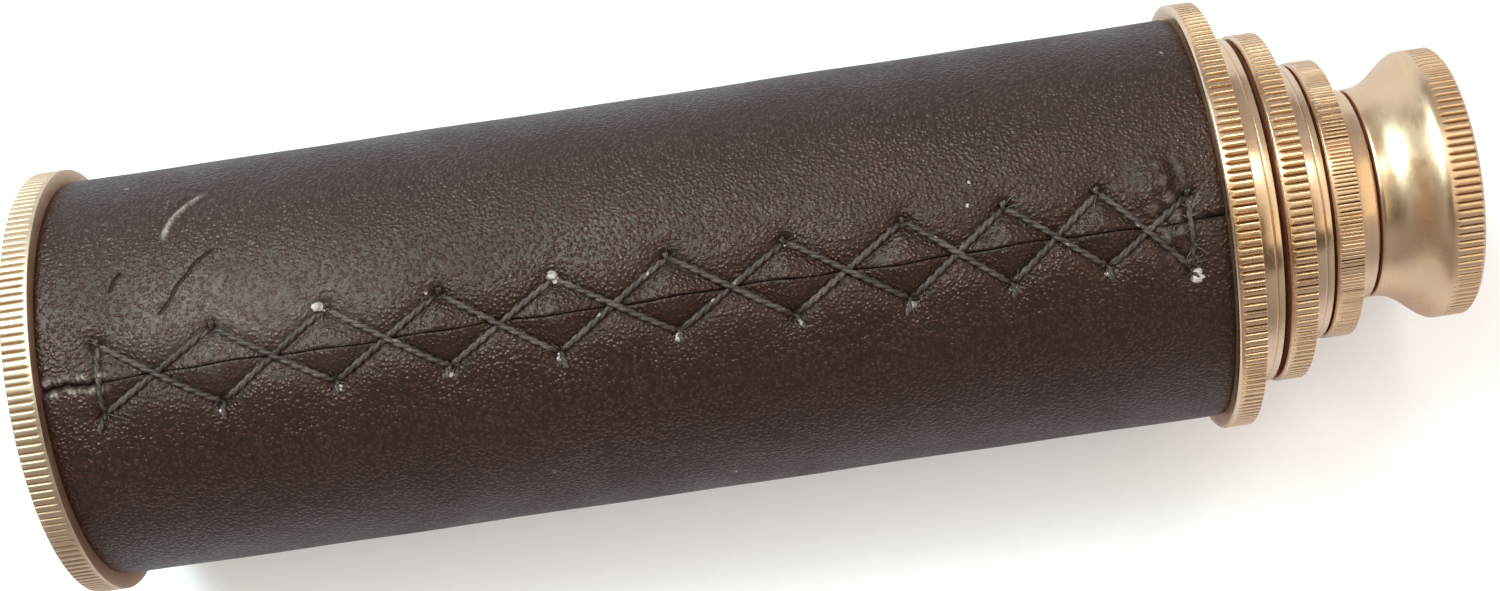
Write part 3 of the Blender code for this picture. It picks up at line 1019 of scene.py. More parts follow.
@dataclass
class Objective:
    """The knurled objective bezel with its two glasses and their retaining ring."""

    radius: float = 23.0
    bore: float = 18.2
    back: float = 2.9
    cell_end: float = 15.0
    spigot: float = 19.1
    lip: tuple[float, float, float] = (6.0, 7.0, 16.8)
    knurl: Knurl = Knurl(168, 23.0, -1.0, 2.55, depth=0.21, entry=0.5, leave=0.4, seed=3)

    def build(self) -> None:
        """Builds the bezel, both glasses and the ring."""
        self.bezel()
        self.glasses()
        self.retaining_ring()

    def bezel(self) -> None:
        """Turns the bezel, whose grooves run off its front edge."""
        lip_front, lip_back, lip_radius = self.lip
        top = [Corner(s, self.radius) for s in (0.9, 1.6, 2.0, 2.12, 2.26, 2.4, 2.55, 2.7)]
        # The fourth value of a corner is red painted shade, on the rear face, spigot and bore.
        outline = Outline(
            [
                Corner(0.0, self.bore + 0.3, 0.08),
                Corner(0.0, 21.4),
                Corner(0.06, 22.1),
                Corner(0.0, self.radius - 0.14, 0.05),
                Corner(0.12, self.radius, 0.06),
                *top,
                Corner(self.back, self.radius, 0.10),
                Corner(self.back, 22.2, 0.0, 0.15),
                Corner(self.back, 21.0, 0.0, 0.6),
                Corner(self.back, self.spigot, 0.0, 1.0),
                Corner(self.cell_end, self.spigot, 0.1, 0.3),
                Corner(self.cell_end, self.bore, 0.1, 0.3),
                Corner(lip_back, self.bore, 0.0, 0.2),
                Corner(lip_back, lip_radius, 0.08, 0.1),
                Corner(lip_front, lip_radius, 0.08, 0.1),
                Corner(lip_front, self.bore, 0.0, 0.25),
                Corner(0.3, self.bore, 0.05),
            ]
        )
        piece = turned("bezel_knurled", outline, self.knurl)
        settle(piece, HANDLED_BRASS, "barrel", "brass", "objective_bezel")

    def glasses(self) -> None:
        """Grinds the crown and flint glasses."""
        radius = self.bore - GAP
        crown = lens_body("crown_glass", 7.4, 9.0, radius, 1.4, 1.7)
        settle(crown, Glass(), "barrel", "glass", "objective_crown_lens")
        flint = lens_body("flint_glass", 9.3, 12.7, radius, -1.7, 0.0)
        settle(flint, Glass(), "barrel", "glass", "objective_flint_lens")

    def retaining_ring(self) -> None:
        """Turns the blackened ring behind the glasses."""
        ring = slotted_ring("objective_ring", 13.0, 14.8, 16.3, self.bore - GAP, 1)
        settle(ring, BlackenedBrass(), "barrel", "blackened_brass", "objective_retaining_ring")


def slotted_ring(
    name: str, start: float, end: float, inner: float, outer: float, open_side: int
) -> bpy.types.Object:
    """Turns a thin ring and cuts its two spanner slots.

    Args:
        name: the piece's name.
        start: station of its front face.
        end: station of its back face.
        inner: bore radius.
        outer: outside radius.
        open_side: 1 if the slots are in the back face, or -1 for the front.

    Returns:
        The ring.
    """
    slot_width, slot_depth, columns, bevel = 1.6, 0.8, INNER_ROUND, 0.1
    face, other = (end, start) if open_side > 0 else (start, end)
    turns = np.arange(columns) * 2 * math.pi / columns
    half = slot_width / 2 / outer
    centres = (math.pi / 2, 3 * math.pi / 2)
    for centre in centres:
        for side in (-1, 1):
            nearest = int(np.argmin(np.abs(turns - (centre + side * half))))
            turns[nearest] = centre + side * half * 1.02
            turns[(nearest - side) % columns] = centre + side * half * 0.98
    in_slot = np.min([np.abs(turns - centre) for centre in centres], axis=0) < half
    lowered = np.where(in_slot, face - open_side * slot_depth, face)
    rows = [
        (other, inner + bevel),
        (other, outer - bevel),
        (other + open_side * bevel, outer),
        (lowered - open_side * bevel, outer),
        (lowered, outer - bevel),
        (lowered, inner + bevel),
        (lowered - open_side * bevel, inner),
        (other + open_side * bevel, inner),
    ]
    edge = np.repeat([0.6, 0.6, 0.4, 0.4, 1.0, 1.0, 0.5, 0.3], columns)
    faces = [grid_faces(len(rows), columns, True, True)]
    return make_object(name, swept(rows, turns), faces, {"edge": edge})


def plain_tube(
    name: str,
    start: float,
    end: float,
    inner: float,
    outer: float,
    bevel: float = 0.08,
    gap_shade: float = 0.0,
) -> bpy.types.Object:
    """Turns a tube with softened edges.

    Args:
        name: the piece's name.
        start: station of its front end.
        end: station of its back end.
        inner: bore radius.
        outer: outside radius.
        bevel: how far its edges are rounded.
        gap_shade: how much red painted shade its bore gets.

    Returns:
        The tube.
    """
    corners = [
        Corner(start, inner, bevel, gap_shade),
        Corner(start, outer, bevel),
        Corner(end, outer, bevel),
        Corner(end, inner, bevel, gap_shade),
    ]
    return turned(name, Outline(corners, steps=3), columns=INNER_ROUND)


@dataclass
class Sewing:
    """Where the lace crosses the seam of the hide."""

    first: float = 9.0
    pitch: float = 11.6
    shortening: float = 1.05
    full_pitches: int = 7
    crosses: int = 10
    spread: float = 3.75
    last_slip: float = 1.2      # how far the last stitch has slipped towards -Y
    seam: float = math.radians(4.0)
    seed: int = 7

    def holes(self) -> np.ndarray:
        """The holes' places.

        Returns:
            An array of [row, hole, (station, offset round the hide from the seam)], with
            the row on the +Y side first.
        """
        rng = np.random.default_rng(self.seed)
        stations = [self.first]
        for index in range(self.crosses):
            short = max(0, index - self.full_pitches + 1) * self.shortening
            stations.append(stations[-1] + self.pitch - short)
        made = np.zeros((2, self.crosses + 1, 2))
        for row, side in enumerate((-1.0, 1.0)):
            made[row, :, 0] = np.array(stations) + rng.normal(0.0, 0.22, self.crosses + 1)
            made[row, :, 1] = side * self.spread + rng.normal(0.0, 0.22, self.crosses + 1)
            made[row, -1, 1] += self.last_slip
        return made

    def stitches(self) -> list[tuple[np.ndarray, np.ndarray, int]]:
        """Every stitch as (start, end, layer); a stitch with layer 1 lies over one with 0."""
        far, near = self.holes()
        made = [(far[0], near[0], 0), (far[-1], near[-1], 0)]
        for k in range(self.crosses):
            made.append((near[k], far[k + 1], 0))
            made.append((far[k], near[k + 1], 1))
        return made


def along_line(
    stations: np.ndarray, offsets: np.ndarray, first: np.ndarray, last: np.ndarray
) -> tuple[np.ndarray, np.ndarray]:
    """Measures points against a straight line on the hide.

    Args:
        stations: stations of the points.
        offsets: distances of the points round the hide from the seam.
        first: station and offset of the line's start.
        last: station and offset of its end.

    Returns:
        How far along the line each point's nearest place is, from 0 to 1, and how far away
        that place is in millimetres.
    """
    run = np.subtract(last, first)
    share = ((stations - first[0]) * run[0] + (offsets - first[1]) * run[1]) / float(run @ run)
    held = np.clip(share, 0.0, 1.0)
    return held, np.hypot(stations - first[0] - held * run[0], offsets - first[1] - held * run[1])


class Relief:
    """How high, creased and scuffed the hide is at some places; the crease carries painted shade.
    """

    def __init__(self, stations: np.ndarray, offsets: np.ndarray) -> None:
        """Starts with a flat, clean hide.

        Args:
            stations: stations of the places.
            offsets: their distances round the hide from the seam, from -half to half.
        """
        self.stations, self.offsets = stations, offsets
        self.height, self.crease, self.scuff = np.zeros((3, *stations.shape))

    def spot(self, station: float, length: float, offset: float, width: float) -> np.ndarray:
        """A soft oval spot, 1 in its middle."""
        across = bell_curve(self.offsets - offset, width)
        return bell_curve(self.stations - station, length) * across

    def fold(self, amount: np.ndarray) -> None:
        """Marks the hide as creased at least so much, for painted shade and a duller shine."""
        self.crease = np.maximum(self.crease, amount)

    def rub(self, amount: np.ndarray) -> None:
        """Scuffs the hide at least so much."""
        self.scuff = np.maximum(self.scuff, amount)


@dataclass
class HideCover:
    """The glued hide round the barrel, and the lace that closes its seam."""

    start: float = 2.98
    end: float = 122.22
    radius: float = 21.5
    thickness: float = 1.0
    seam_gap: float = 0.10
    step: float = 0.26
    sewn_end: float = 119.0     # station where the seam opens again past the last stitch
    cut_reach: float = 0.8      # how far the mark of a knife cut spreads
    sewing: Sewing = field(default_factory=Sewing)

    def build(self) -> None:
        """Builds the hide, its lace, the frayed ends and the crumbs of wax."""
        self.hide()
        self.lace()
        self.frayed_ends()
        self.wax_crumbs()

    def columns(self) -> np.ndarray:
        """Distances round the hide from the seam, close together near it and over its marks."""
        whole = 2 * math.pi * self.radius
        marked_from, sewn_from = 26.0, 8.5
        near = np.concatenate([[self.seam_gap / 2], np.arange(0.15, sewn_from, 0.2)])
        plain = np.linspace(sewn_from, whole - marked_from, 92)[1:-1]
        marked = whole - np.arange(marked_from, sewn_from, -0.27)
        return np.concatenate([near, plain, marked, whole - near[::-1]])

    def turn(self, offsets: np.ndarray) -> np.ndarray:
        """The angles at some distances round the hide from the seam."""
        return self.sewing.seam + offsets / self.radius

    def relief(self, stations: np.ndarray, offsets: np.ndarray) -> Relief:
        """The hide's shape and wear.

        Args:
            stations: stations of the points.
            offsets: distances of the points round the hide from the seam, from -half to half.

        Returns:
            The relief at the points.
        """
        made = Relief(stations, offsets)
        self.pull_stitches(made)
        self.raise_pillows(made)
        self.part_seam(made)
        self.wear(made)
        self.pucker_last_stitch(made)
        ends = np.minimum(stations - self.start, self.end - stations)
        made.height -= 0.18 * (1.0 - smooth(ends / 0.45))
        return made

    def pull_stitches(self, made: Relief) -> None:
        """Sinks a groove under each stitch and a pit at each hole, and marks both for painted
        shade.
        """
        for first, last, _ in self.sewing.stitches():
            held, away = along_line(made.stations, made.offsets, first, last)
            tight = 0.55 + 0.45 * np.cos(2 * math.pi * held)
            made.height -= bell_curve(away, 0.42) * (0.16 + 0.14 * tight)
            made.height -= bell_curve(away, 1.1) * 0.12
            made.fold(bell_curve(away, 0.40) * 0.45)
        for hole in np.concatenate(self.sewing.holes()):
            away = np.hypot(made.stations - hole[0], made.offsets - hole[1])
            made.height -= bell_curve(away, 0.38) * 0.45 + bell_curve(away, 1.2) * 0.14
            made.fold(bell_curve(away, 0.32) * 0.8)

    def raise_pillows(self, made: Relief) -> None:
        """Swells the hide in the diamonds between the stitches, and outside each cross."""
        far, near = self.sewing.holes()
        last = self.sewing.crosses
        for k, middle in enumerate((far + near) / 2):
            along, across = made.stations - middle[0], made.offsets - middle[1]
            pillow = smooth(1.0 - np.abs(along) / 5.6 - np.abs(across) / 3.9)
            if k in (0, last):
                pillow = pillow * smooth((along if k == 0 else -along) / 0.9)
            made.height += pillow * 0.85
        for row, side in ((far, -1.0), (near, 1.0)):
            for station in (row[:-1, 0] + row[1:, 0]) / 2:
                made.height += made.spot(station, 2.8, side * 3.5, 1.5) * 0.24

    def part_seam(self, made: Relief) -> None:
        """Opens the seam, widest and most ragged where no stitch holds it, and marks it for painted
        shade.
        """
        seam, side = np.abs(made.offsets), np.sign(made.offsets)
        made.height -= bell_curve(seam, 0.10) * 0.14
        made.fold(bell_curve(seam, 0.08) * 0.7)
        sewn = smooth((made.stations - self.sewing.first) / 1.5)
        sewn = sewn * smooth((self.sewn_end - made.stations) / 1.5)
        ragged = np.sin(made.stations * 7.1 + side) * np.sin(made.stations * 3.7 + 1.0 + 2.0 * side)
        opened = bell_curve(seam, 0.26 + 0.10 * ragged) * (1.0 - sewn)
        made.height -= opened * 0.40
        made.fold(opened)
        at_front = made.stations < 60.0
        torn = bell_curve(seam - 0.62 - 0.15 * ragged, 0.20) * (1.0 - sewn) * at_front
        shred = smooth(0.4 + 0.9 * ragged)
        made.height += torn * (0.03 + 0.16 * shred)
        made.rub(torn * shred)

    def wear(self, made: Relief) -> None:
        """Adds slow waves, a curved raised scratch, two knife cuts and a rubbed patch."""
        stations, offsets = made.stations, made.offsets
        wave = np.sin(stations * 0.11 + 1.0) * np.sin(offsets * 0.13 + stations * 0.04)
        wave = wave + 0.6 * np.sin(stations * 0.31 + offsets * 0.22 + 2.0)
        run = (-14.6 - offsets) / 5.4
        away = np.abs(stations - (16.3 + 2.9 * run * run + 0.3 * run))
        within = smooth((run + 0.12) * 6.0) * smooth((1.12 - run) * 6.0)
        made.height += wave * 0.045
        made.height += bell_curve(away, 0.20) * within * 0.17
        made.height -= bell_curve(away - 0.8, 0.45) * within * 0.14
        made.rub(bell_curve(away, 0.2) * within)
        made.height -= smooth(self.cuts(stations, offsets)) * 0.10
        made.rub(made.spot(24.0, 9.0, -4.0, 3.5) * 0.15)

    def pucker_last_stitch(self, made: Relief) -> None:
        """Bulges, folds and puckers the hide where the last stitch has slipped."""
        stations, offsets = made.stations, made.offsets
        made.height += made.spot(115.7, 1.4, -4.4, 1.6) * 0.70
        made.height += made.spot(117.5, 0.8, 0.3, 2.2) * 0.50
        bent = bell_curve(stations - 117.8 - 0.2 * np.sin(offsets * 2.3), 0.30)
        fold = bent * bell_curve(offsets + 4.6, 1.7)
        made.height -= fold * 0.40
        # marks the fold for painted shade
        made.fold(fold * 0.8)
        pucker = made.spot(116.8, 1.8, -1.4, 3.4)
        ripple = np.sin(stations * 2.3 + offsets * 1.3)
        ripple = ripple * np.sin(offsets * 2.1 - stations * 0.7 + 1.0)
        made.height += pucker * 0.12 * ripple
        made.rub(pucker * smooth(1.6 * ripple) * 0.22)

    def cuts(self, stations: np.ndarray, offsets: np.ndarray) -> np.ndarray:
        """How near points are to the two knife cuts.

        Args:
            stations: stations of the points.
            offsets: distances of the points round the hide from the seam.

        Returns:
            1 on a cut, falling evenly to 0 at the reach of its mark.
        """
        long_cut = (
            (21.3, -12.1), (19.6, -11.0), (18.7, -9.6), (17.6, -8.6), (16.9, -7.1), (15.8, -5.9)
        )
        short_cut = ((11.8, -10.8), (11.2, -10.1), (10.8, -9.1))
        lines = [ends for cut in (long_cut, short_cut) for ends in zip(cut, cut[1:])]
        away = np.min([along_line(stations, offsets, *ends)[1] for ends in lines], axis=0)
        return np.clip(1.0 - away / self.cut_reach, 0.0, 1.0)

    def hide(self) -> None:
        """Wraps the hide as one closed strip, with its two edges meeting at the seam."""
        rows = int(round((self.end - self.start) / self.step)) + 1
        stations = np.linspace(self.start, self.end, rows)
        outer = self.columns()
        whole = 2 * math.pi * self.radius
        signed = np.where(outer > whole / 2, outer - whole, outer)
        grid_s, grid_o = np.meshgrid(stations, signed, indexing="ij")
        relief = self.relief(grid_s, grid_o)
        inner = np.broadcast_to(np.linspace(whole - 0.002, 0.002, 60), (rows, 60))
        pull = self.seam_wander(stations)[:, None] * bell_curve(grid_o, 3.0)
        turns = self.turn(np.concatenate([outer[None, :] + pull, inner], axis=1))
        plain = np.full(inner.shape, self.radius - self.thickness)
        radii = np.concatenate([self.radius + relief.height, plain], axis=1)
        points = in_space(stations[:, None], radii, turns).reshape(-1, 3)
        # crease and cut carry painted shade for the hide's finish
        outside = {
            "crease": relief.crease,
            "scuff": relief.scuff,
            "cut": self.cuts(grid_s, grid_o),
        }
        blank = np.zeros(inner.shape)
        masks = {
            name: np.concatenate([values, blank], axis=1).reshape(-1)
            for name, values in outside.items()
        }
        piece = make_object("hide_wrap", points, capped_faces(*turns.shape), masks, SOFT_ANGLE)
        settle(piece, Hide(), "barrel", "leather", "leather_cover")

    def seam_wander(self, stations: np.ndarray) -> np.ndarray:
        """How far the seam strays from a straight line, most of all at its torn front end."""
        slow = 0.12 * np.sin(stations * 0.23) + 0.08 * np.sin(stations * 0.71 + 1.0)
        torn = np.sin(stations * 3.1) * np.sin(stations * 1.3 + 0.5)
        return slow + 0.20 * torn * smooth((9.5 - stations) / 2.0)

    def surface(self, stations: np.ndarray, offsets: np.ndarray) -> np.ndarray:
        """The hide's radius at some places."""
        return self.radius + self.relief(stations, offsets).height

    def thread_line(
        self, stations: np.ndarray, offsets: np.ndarray, radii: np.ndarray
    ) -> np.ndarray:
        """The middle of a thread, as rows of station, radius and turn."""
        return np.stack([stations, radii, self.turn(offsets)], axis=1)

    def lace(self) -> None:
        """Lays the two-ply lace from hole to hole, each stitch sunk in its own groove."""
        heap = Heap()
        for number, (first, last, layer) in enumerate(self.sewing.stitches()):
            line = self.stitch_line(first, last, layer)
            for ply in PLIES:
                strand(heap, line, ply + number * 1.3)
        self.tails(heap)
        settle(heap.piece("sewn_lace"), Lace(), "barrel", "waxed_lace", "seam_lacing")

    def tails(self, heap: Heap) -> None:
        """Lets a short turn of thread stand out beyond each hole."""
        rng = np.random.default_rng(33)
        far, near = self.sewing.holes()
        share = np.linspace(0.0, 1.0, 9)
        for row, side, reach in ((far, -1.0, 0.55), (near, 1.0, 1.25)):
            for hole in row:
                length = reach * rng.uniform(0.75, 1.25)
                lean = rng.normal(0.0, 0.45)
                stations = hole[0] + length * lean * share
                offsets = hole[1] + side * length * share
                arch = -0.30 + 0.62 * np.sin(math.pi * (0.15 + 0.7 * share))
                line = self.thread_line(stations, offsets, self.surface(stations, offsets) + arch)
                for ply in PLIES:
                    strand(heap, line, ply, thickness=0.21, lay=0.13, twist=1.8)

    def stitch_line(self, first: np.ndarray, last: np.ndarray, layer: int) -> np.ndarray:
        """The middle of one stitch.

        Args:
            first: station and offset of the hole that it comes out of.
            last: station and offset of the hole that it goes into.
            layer: 1 if it lies over its neighbour.

        Returns:
            Rows of station, radius and turn.
        """
        length = float(np.hypot(*(last - first)))
        share = np.linspace(0.0, 1.0, max(12, int(length / 0.22)))
        stations = first[0] + (last[0] - first[0]) * share
        offsets = first[1] + (last[1] - first[1]) * share
        span = 9
        padded = np.pad(self.surface(stations, offsets), span // 2, mode="edge")
        bed = np.convolve(padded, np.ones(span) / span, mode="valid")
        crossing = bell_curve((share - 0.5) * length, 1.1) * (0.36 if layer else -0.10)
        from_hole = np.minimum(share, 1.0 - share) * length
        dive = 1.25 * (1.0 - smooth(from_hole / 0.75)) ** 1.5
        rise = 0.15 + 0.08 * np.sin(math.pi * share) + crossing - dive
        return self.thread_line(stations, offsets, bed + rise)

    def frayed_ends(self) -> None:
        """Adds loose fibres at the holes and the teased knot at the last one."""
        rng = np.random.default_rng(21)
        heap = Heap()
        far, near = self.sewing.holes()
        for index in range(self.sewing.crosses + 1):
            knot = 14 if index == self.sewing.crosses else 0
            for hole, tufts in ((far[index], 2), (near[index], 5 + knot)):
                for _ in range(tufts):
                    self.fibre(heap, hole, rng)
        for share in rng.uniform(0.1, 1.0, 26):
            self.fibre(heap, far[-1] + (near[-1] - far[-1]) * share, rng)
        frayed = Lace("frayed_thread", rubbed=(0.30, 0.25, 0.22, 1.0))
        settle(heap.piece("lace_fibres"), frayed, "barrel", "waxed_lace")

    def fibre(self, heap: Heap, hole: np.ndarray, rng: np.random.Generator) -> None:
        """Curls one thin fibre out of a hole and down onto the hide.

        Args:
            heap: where the fibre is added.
            hole: station and offset of the hole.
            rng: the source of chance.
        """
        heading = rng.uniform(0.0, 2 * math.pi)
        length = rng.uniform(0.7, 1.7)
        share = np.linspace(0.0, 1.0, 7)
        path = heading + rng.normal(0.0, 0.7) * share
        stations = hole[0] + length * share * np.cos(path)
        offsets = hole[1] + length * share * np.sin(path)
        arch = 0.10 + rng.uniform(0.05, 0.45) * np.sin(math.pi * share)
        arch[0] -= 0.35
        line = self.thread_line(stations, offsets, self.surface(stations, offsets) + arch)
        strand(heap, line, 0.0, thickness=0.065, lay=0.0, sides=5)

    def wax_crumbs(self) -> None:
        """Presses pale crumbs of wax beside most holes."""
        rng = np.random.default_rng(5)
        far, near = self.sewing.holes()
        heap = Heap()
        spots = (
            (far[2], 0.62), (far[4], 0.66), (near[4], 0.32), (near[5], 0.36),
            (near[3], 0.34), (near[7], 0.34), (near[1], 0.26), (near[10], 0.58),
            (near[8], 0.30), (far[6], 0.22), (near[9], 0.26), (near[2], 0.22),
        )
        for hole, size in spots:
            centre = hole + rng.normal(0.0, 0.15, 2)
            centre[1] += 0.7 if hole[1] > 0.0 else 0.0
            for _ in range(3):
                self.crumb(heap, centre + rng.normal(0.0, size * 0.4, 2), size, rng)
        settle(heap.piece("wax_crumbs"), Wax(), "barrel", "waxed_lace")

    def crumb(
        self, heap: Heap, centre: np.ndarray, size: float, rng: np.random.Generator
    ) -> None:
        """Adds one lumpy crumb.

        Args:
            heap: where the crumb is added.
            centre: station and offset of its middle.
            size: its radius.
            rng: the source of chance.
        """
        rings, columns, pole = 7, 12, 0.12
        down = np.linspace(pole, math.pi - pole, rings)[:, None]
        around = np.linspace(0.0, 2 * math.pi, columns, endpoint=False)[None, :]
        lump = size * (1.0 + rng.normal(0.0, 0.13, (rings, columns)))
        level = float(self.surface(centre[:1], centre[1:])[0]) + size * 0.12
        stations = centre[0] + lump * np.sin(down) * np.cos(around)
        offsets = centre[1] + lump * np.sin(down) * np.sin(around) * 0.8
        heap.add(in_space(stations, level + lump * np.cos(down) * 0.55, self.turn(offsets)))


def strand(
    heap: Heap,
    line: np.ndarray,
    phase: float,
    thickness: float = 0.235,
    lay: float = 0.12,
    sides: int = 8,
    twist: float = 2.3,
) -> None:
    """Sweeps one ply of a thread along a line, winding round its middle.

    Args:
        heap: where the ply is added.
        line: rows of station, radius and turn.
        phase: where on the thread the ply starts, in radians.
        thickness: the ply's radius.
        lay: how far its middle lies from the thread's; a ply with no lay is a loose fibre,
            which thins towards its end.
        sides: how many corners go round it.
        twist: length of one full turn of the ply.
    """
    turn = line[:, 2]
    middle = in_space(line[:, 0], line[:, 1], turn) / MM
    outward = np.stack([np.zeros(len(line)), -np.sin(turn), np.cos(turn)], axis=1)
    ahead = np.gradient(middle, axis=0)
    ahead /= np.linalg.norm(ahead, axis=1)[:, None]
    side = np.cross(ahead, outward)
    side /= np.linalg.norm(side, axis=1)[:, None]
    top = np.cross(side, ahead)
    steps = np.linalg.norm(np.diff(middle, axis=0), axis=1)
    wind = (phase + 2 * math.pi * np.concatenate([[0.0], np.cumsum(steps)]) / twist)[:, None]
    core = middle + lay * (np.cos(wind) * side + np.sin(wind) * top)
    around = (np.arange(sides) * 2 * math.pi / sides)[None, :, None]
    ring = np.cos(around) * side[:, None, :] + np.sin(around) * top[:, None, :]
    thin_end = 0.45 if lay == 0.0 else 1.0
    taper = np.linspace(1.0, thin_end, len(line))[:, None, None]
    heap.add((core[:, None, :] + thickness * taper * ring) * MM)


@dataclass
class Collar:
    """A knurled collar: spigot, flange, cove, plain nose and the seat of its spring sleeve."""

    name: str
    index: int
    knurl: Knurl
    body: str
    node: str

    def build(self) -> None:
        """Turns the collar."""
        index = self.index
        face, flange, boss = COLLAR_FACES[index], COLLAR_RADII[index], BOSS_RADII[index]
        spigot = bore_around(index) - GAP
        lip_bore = DRAW_RADII[index] + GAP
        seat = lip_bore + SLEEVE_WALL + GAP
        back = face + FLANGE_WIDTH
        nose = NOSE_ENDS[index]
        seat_end = sleeve_seat_end(index)
        inner_end = face - SPIGOT_LENGTHS[index]
        rim = [Corner(s, flange) for s in self.knurl.stations() + [back - 0.45, back - 0.2]]
        # The fourth value of a corner is red painted shade, heaviest on the flange's front face,
        # spigot and bore.
        outline = Outline(
            [
                Corner(inner_end, seat, 0.1, 0.3),
                Corner(inner_end, spigot, 0.1, 0.2),
                Corner(face, spigot, 0.0, 0.8),
                Corner(face, flange - 0.9, 0.0, 0.35 if index == 0 else 0.6),
                Corner(face, flange - 0.22, 0.06),
                Corner(face + 0.18, flange, 0.12),
                *rim,
                Corner(back, flange, 0.07),
                Corner(back, boss + 1.3, 0.0, 0.05),
                *self.nose(back, nose, boss),
                Corner(nose, lip_bore, 0.12, 0.9),
                Corner(seat_end, lip_bore, 0.0, 0.8),
                Corner(seat_end, seat, 0.0, 0.8),
            ]
        )
        piece = turned(self.name, outline, self.knurl)
        settle(piece, TURNED_BRASS, self.body, "brass", self.node)

    def nose(self, back: float, nose: float, boss: float) -> list[Corner]:
        """The plain part behind the flange.

        Args:
            back: station of the flange's rear face.
            nose: station of the outer end.
            boss: its radius.

        Returns:
            The corners from the flange to the outer end.
        """
        if self.index == 2:
            return [
                Corner(back, boss + 0.95, 0.0, 0.25),
                Corner(back + 0.12, boss + 0.55, 0.10, 0.15),
                Corner(back + 0.7, boss + 0.22, 0.3),
                Corner(back + 1.5, boss + 0.02, 0.5),
                Corner(nose - 0.25, boss - 0.12, 0.12),
                Corner(nose - 0.06, boss - 0.32, 0.06, 0.4),
                Corner(nose, boss - 0.5, 0.0, 0.8),
            ]
        return [
            Corner(back, boss + 0.62, 0.0, 0.3),
            Corner(back + 0.10, boss + 0.32, 0.08, 0.2),
            Corner(back + 0.34, boss + 0.06, 0.12, 0.12),
            Corner(back + 0.80, boss - 0.08, 0.2, 0.0),
            Corner(back + 0.92, boss + 0.02, 0.05, 0.0),
            Corner(nose - 0.85, boss + 0.02, 0.06, 0.0),
            Corner(nose - 0.72, boss - 0.07, 0.04, 0.12),
            Corner(nose - 0.62, boss + 0.0, 0.05, 0.0),
            Corner(nose, boss - 0.04, 0.12, 0.0),
            Corner(nose, boss - 0.26, 0.0, 1.0),
        ]


@dataclass
class Barrel:
    """The brass body tube and the collar at its draw end."""

    collar: Collar
    start: float = 3.2
    end: float = 122.0

    def build(self) -> None:
        """Builds the tube and the collar."""
        bore = BARREL_RADIUS - BARREL_WALL
        # the bore gets red painted shade
        piece = plain_tube("body_tube", self.start, self.end, bore, BARREL_RADIUS, gap_shade=0.5)
        settle(piece, DRAWN_BRASS, "barrel", "brass", "barrel_tube")
        self.collar.build()


@dataclass
class Draw:
    """One draw: its tube, stop ring, the spring sleeve that guides it and its collar, if any."""

    index: int
    tube_end: float
    collar: Collar | None = None

    def build(self) -> None:
        """Builds the draw's pieces."""
        self.sleeve()
        self.tube()
        self.stop()
        if self.collar:
            self.collar.build()

    @property
    def body(self) -> str:
        """The body that the draw rides on."""
        return f"draw_{self.index + 1}"

    def tube(self) -> None:
        """Draws the thin tube."""
        number, radius = self.index + 1, DRAW_RADII[self.index]
        start = STOP_STARTS[self.index] + 0.8
        bore = radius - DRAW_WALL
        # the bore gets red painted shade
        piece = plain_tube(f"slide_tube_{number}", start, self.tube_end, bore, radius, gap_shade=0.5)
        settle(piece, DRAWN_BRASS, self.body, "brass", f"draw_tube_{number}")

    def stop(self) -> None:
        """Turns the ring that keeps the draw from coming out."""
        index = self.index
        start = STOP_STARTS[index]
        end = start + STOP_LENGTH
        outer = bore_around(index) - GAP
        seat = DRAW_RADII[index] + GAP
        lip = DRAW_RADII[index] - DRAW_WALL - GAP
        # The fourth value of a corner is red painted shade, in the ring's groove and bore.
        corners = [
            Corner(start, lip, 0.1),
            Corner(start, outer - 0.4, 0.15),
            Corner(start + 0.4, outer, 0.15),
            Corner(start + 2.1, outer, 0.05),
            Corner(start + 2.2, outer - 0.12, 0.05, 0.3),
            Corner(start + 2.7, outer - 0.12, 0.05, 0.3),
            Corner(start + 2.8, outer, 0.05),
            Corner(end, outer, 0.1),
            Corner(end, seat, 0.0, 0.3),
            Corner(start + 0.5, seat, 0.0, 0.3),
            Corner(start + 0.5, lip, 0.0, 0.3),
        ]
        piece = turned(f"stop_{index + 1}", Outline(corners, steps=3), columns=INNER_ROUND)
        settle(piece, TURNED_BRASS, self.body, "brass", f"stop_ring_{index + 1}")

    def sleeve(self) -> None:
        """Rolls the split spring sleeve, with its slit on top."""
        index, bevel, slit = self.index, 0.1, 2.0
        start = COLLAR_FACES[index] - SPIGOT_LENGTHS[index] + 0.4
        end = sleeve_seat_end(index) - GAP
        inner = DRAW_RADII[index] + GAP
        outer = inner + SLEEVE_WALL
        rows = [
            (start, inner + bevel),
            (start, outer - bevel),
            (start + bevel, outer),
            (end - bevel, outer),
            (end, outer - bevel),
            (end, inner + bevel),
            (end - bevel, inner),
            (start + bevel, inner),
        ]
        columns, open_half = INNER_ROUND, slit / 2 / outer
        points = swept(rows, np.linspace(open_half, 2 * math.pi - open_half, columns))
        caps = np.arange(len(rows))[None, :] * columns
        faces = [grid_faces(len(rows), columns, True, False), caps[:, ::-1], caps + columns - 1]
        masks = {"edge": np.repeat([0.7, 0.7, 0.7, 0.7, 0.7, 0.7, 0.4, 0.4], columns)}
        piece = make_object(f"spring_sleeve_{index + 1}", points, faces, masks)
        sleeve, node = f"sleeve_{index + 1}", f"friction_sleeve_{index + 1}"
        settle(piece, DRAWN_BRASS, sleeve, "brass", node)


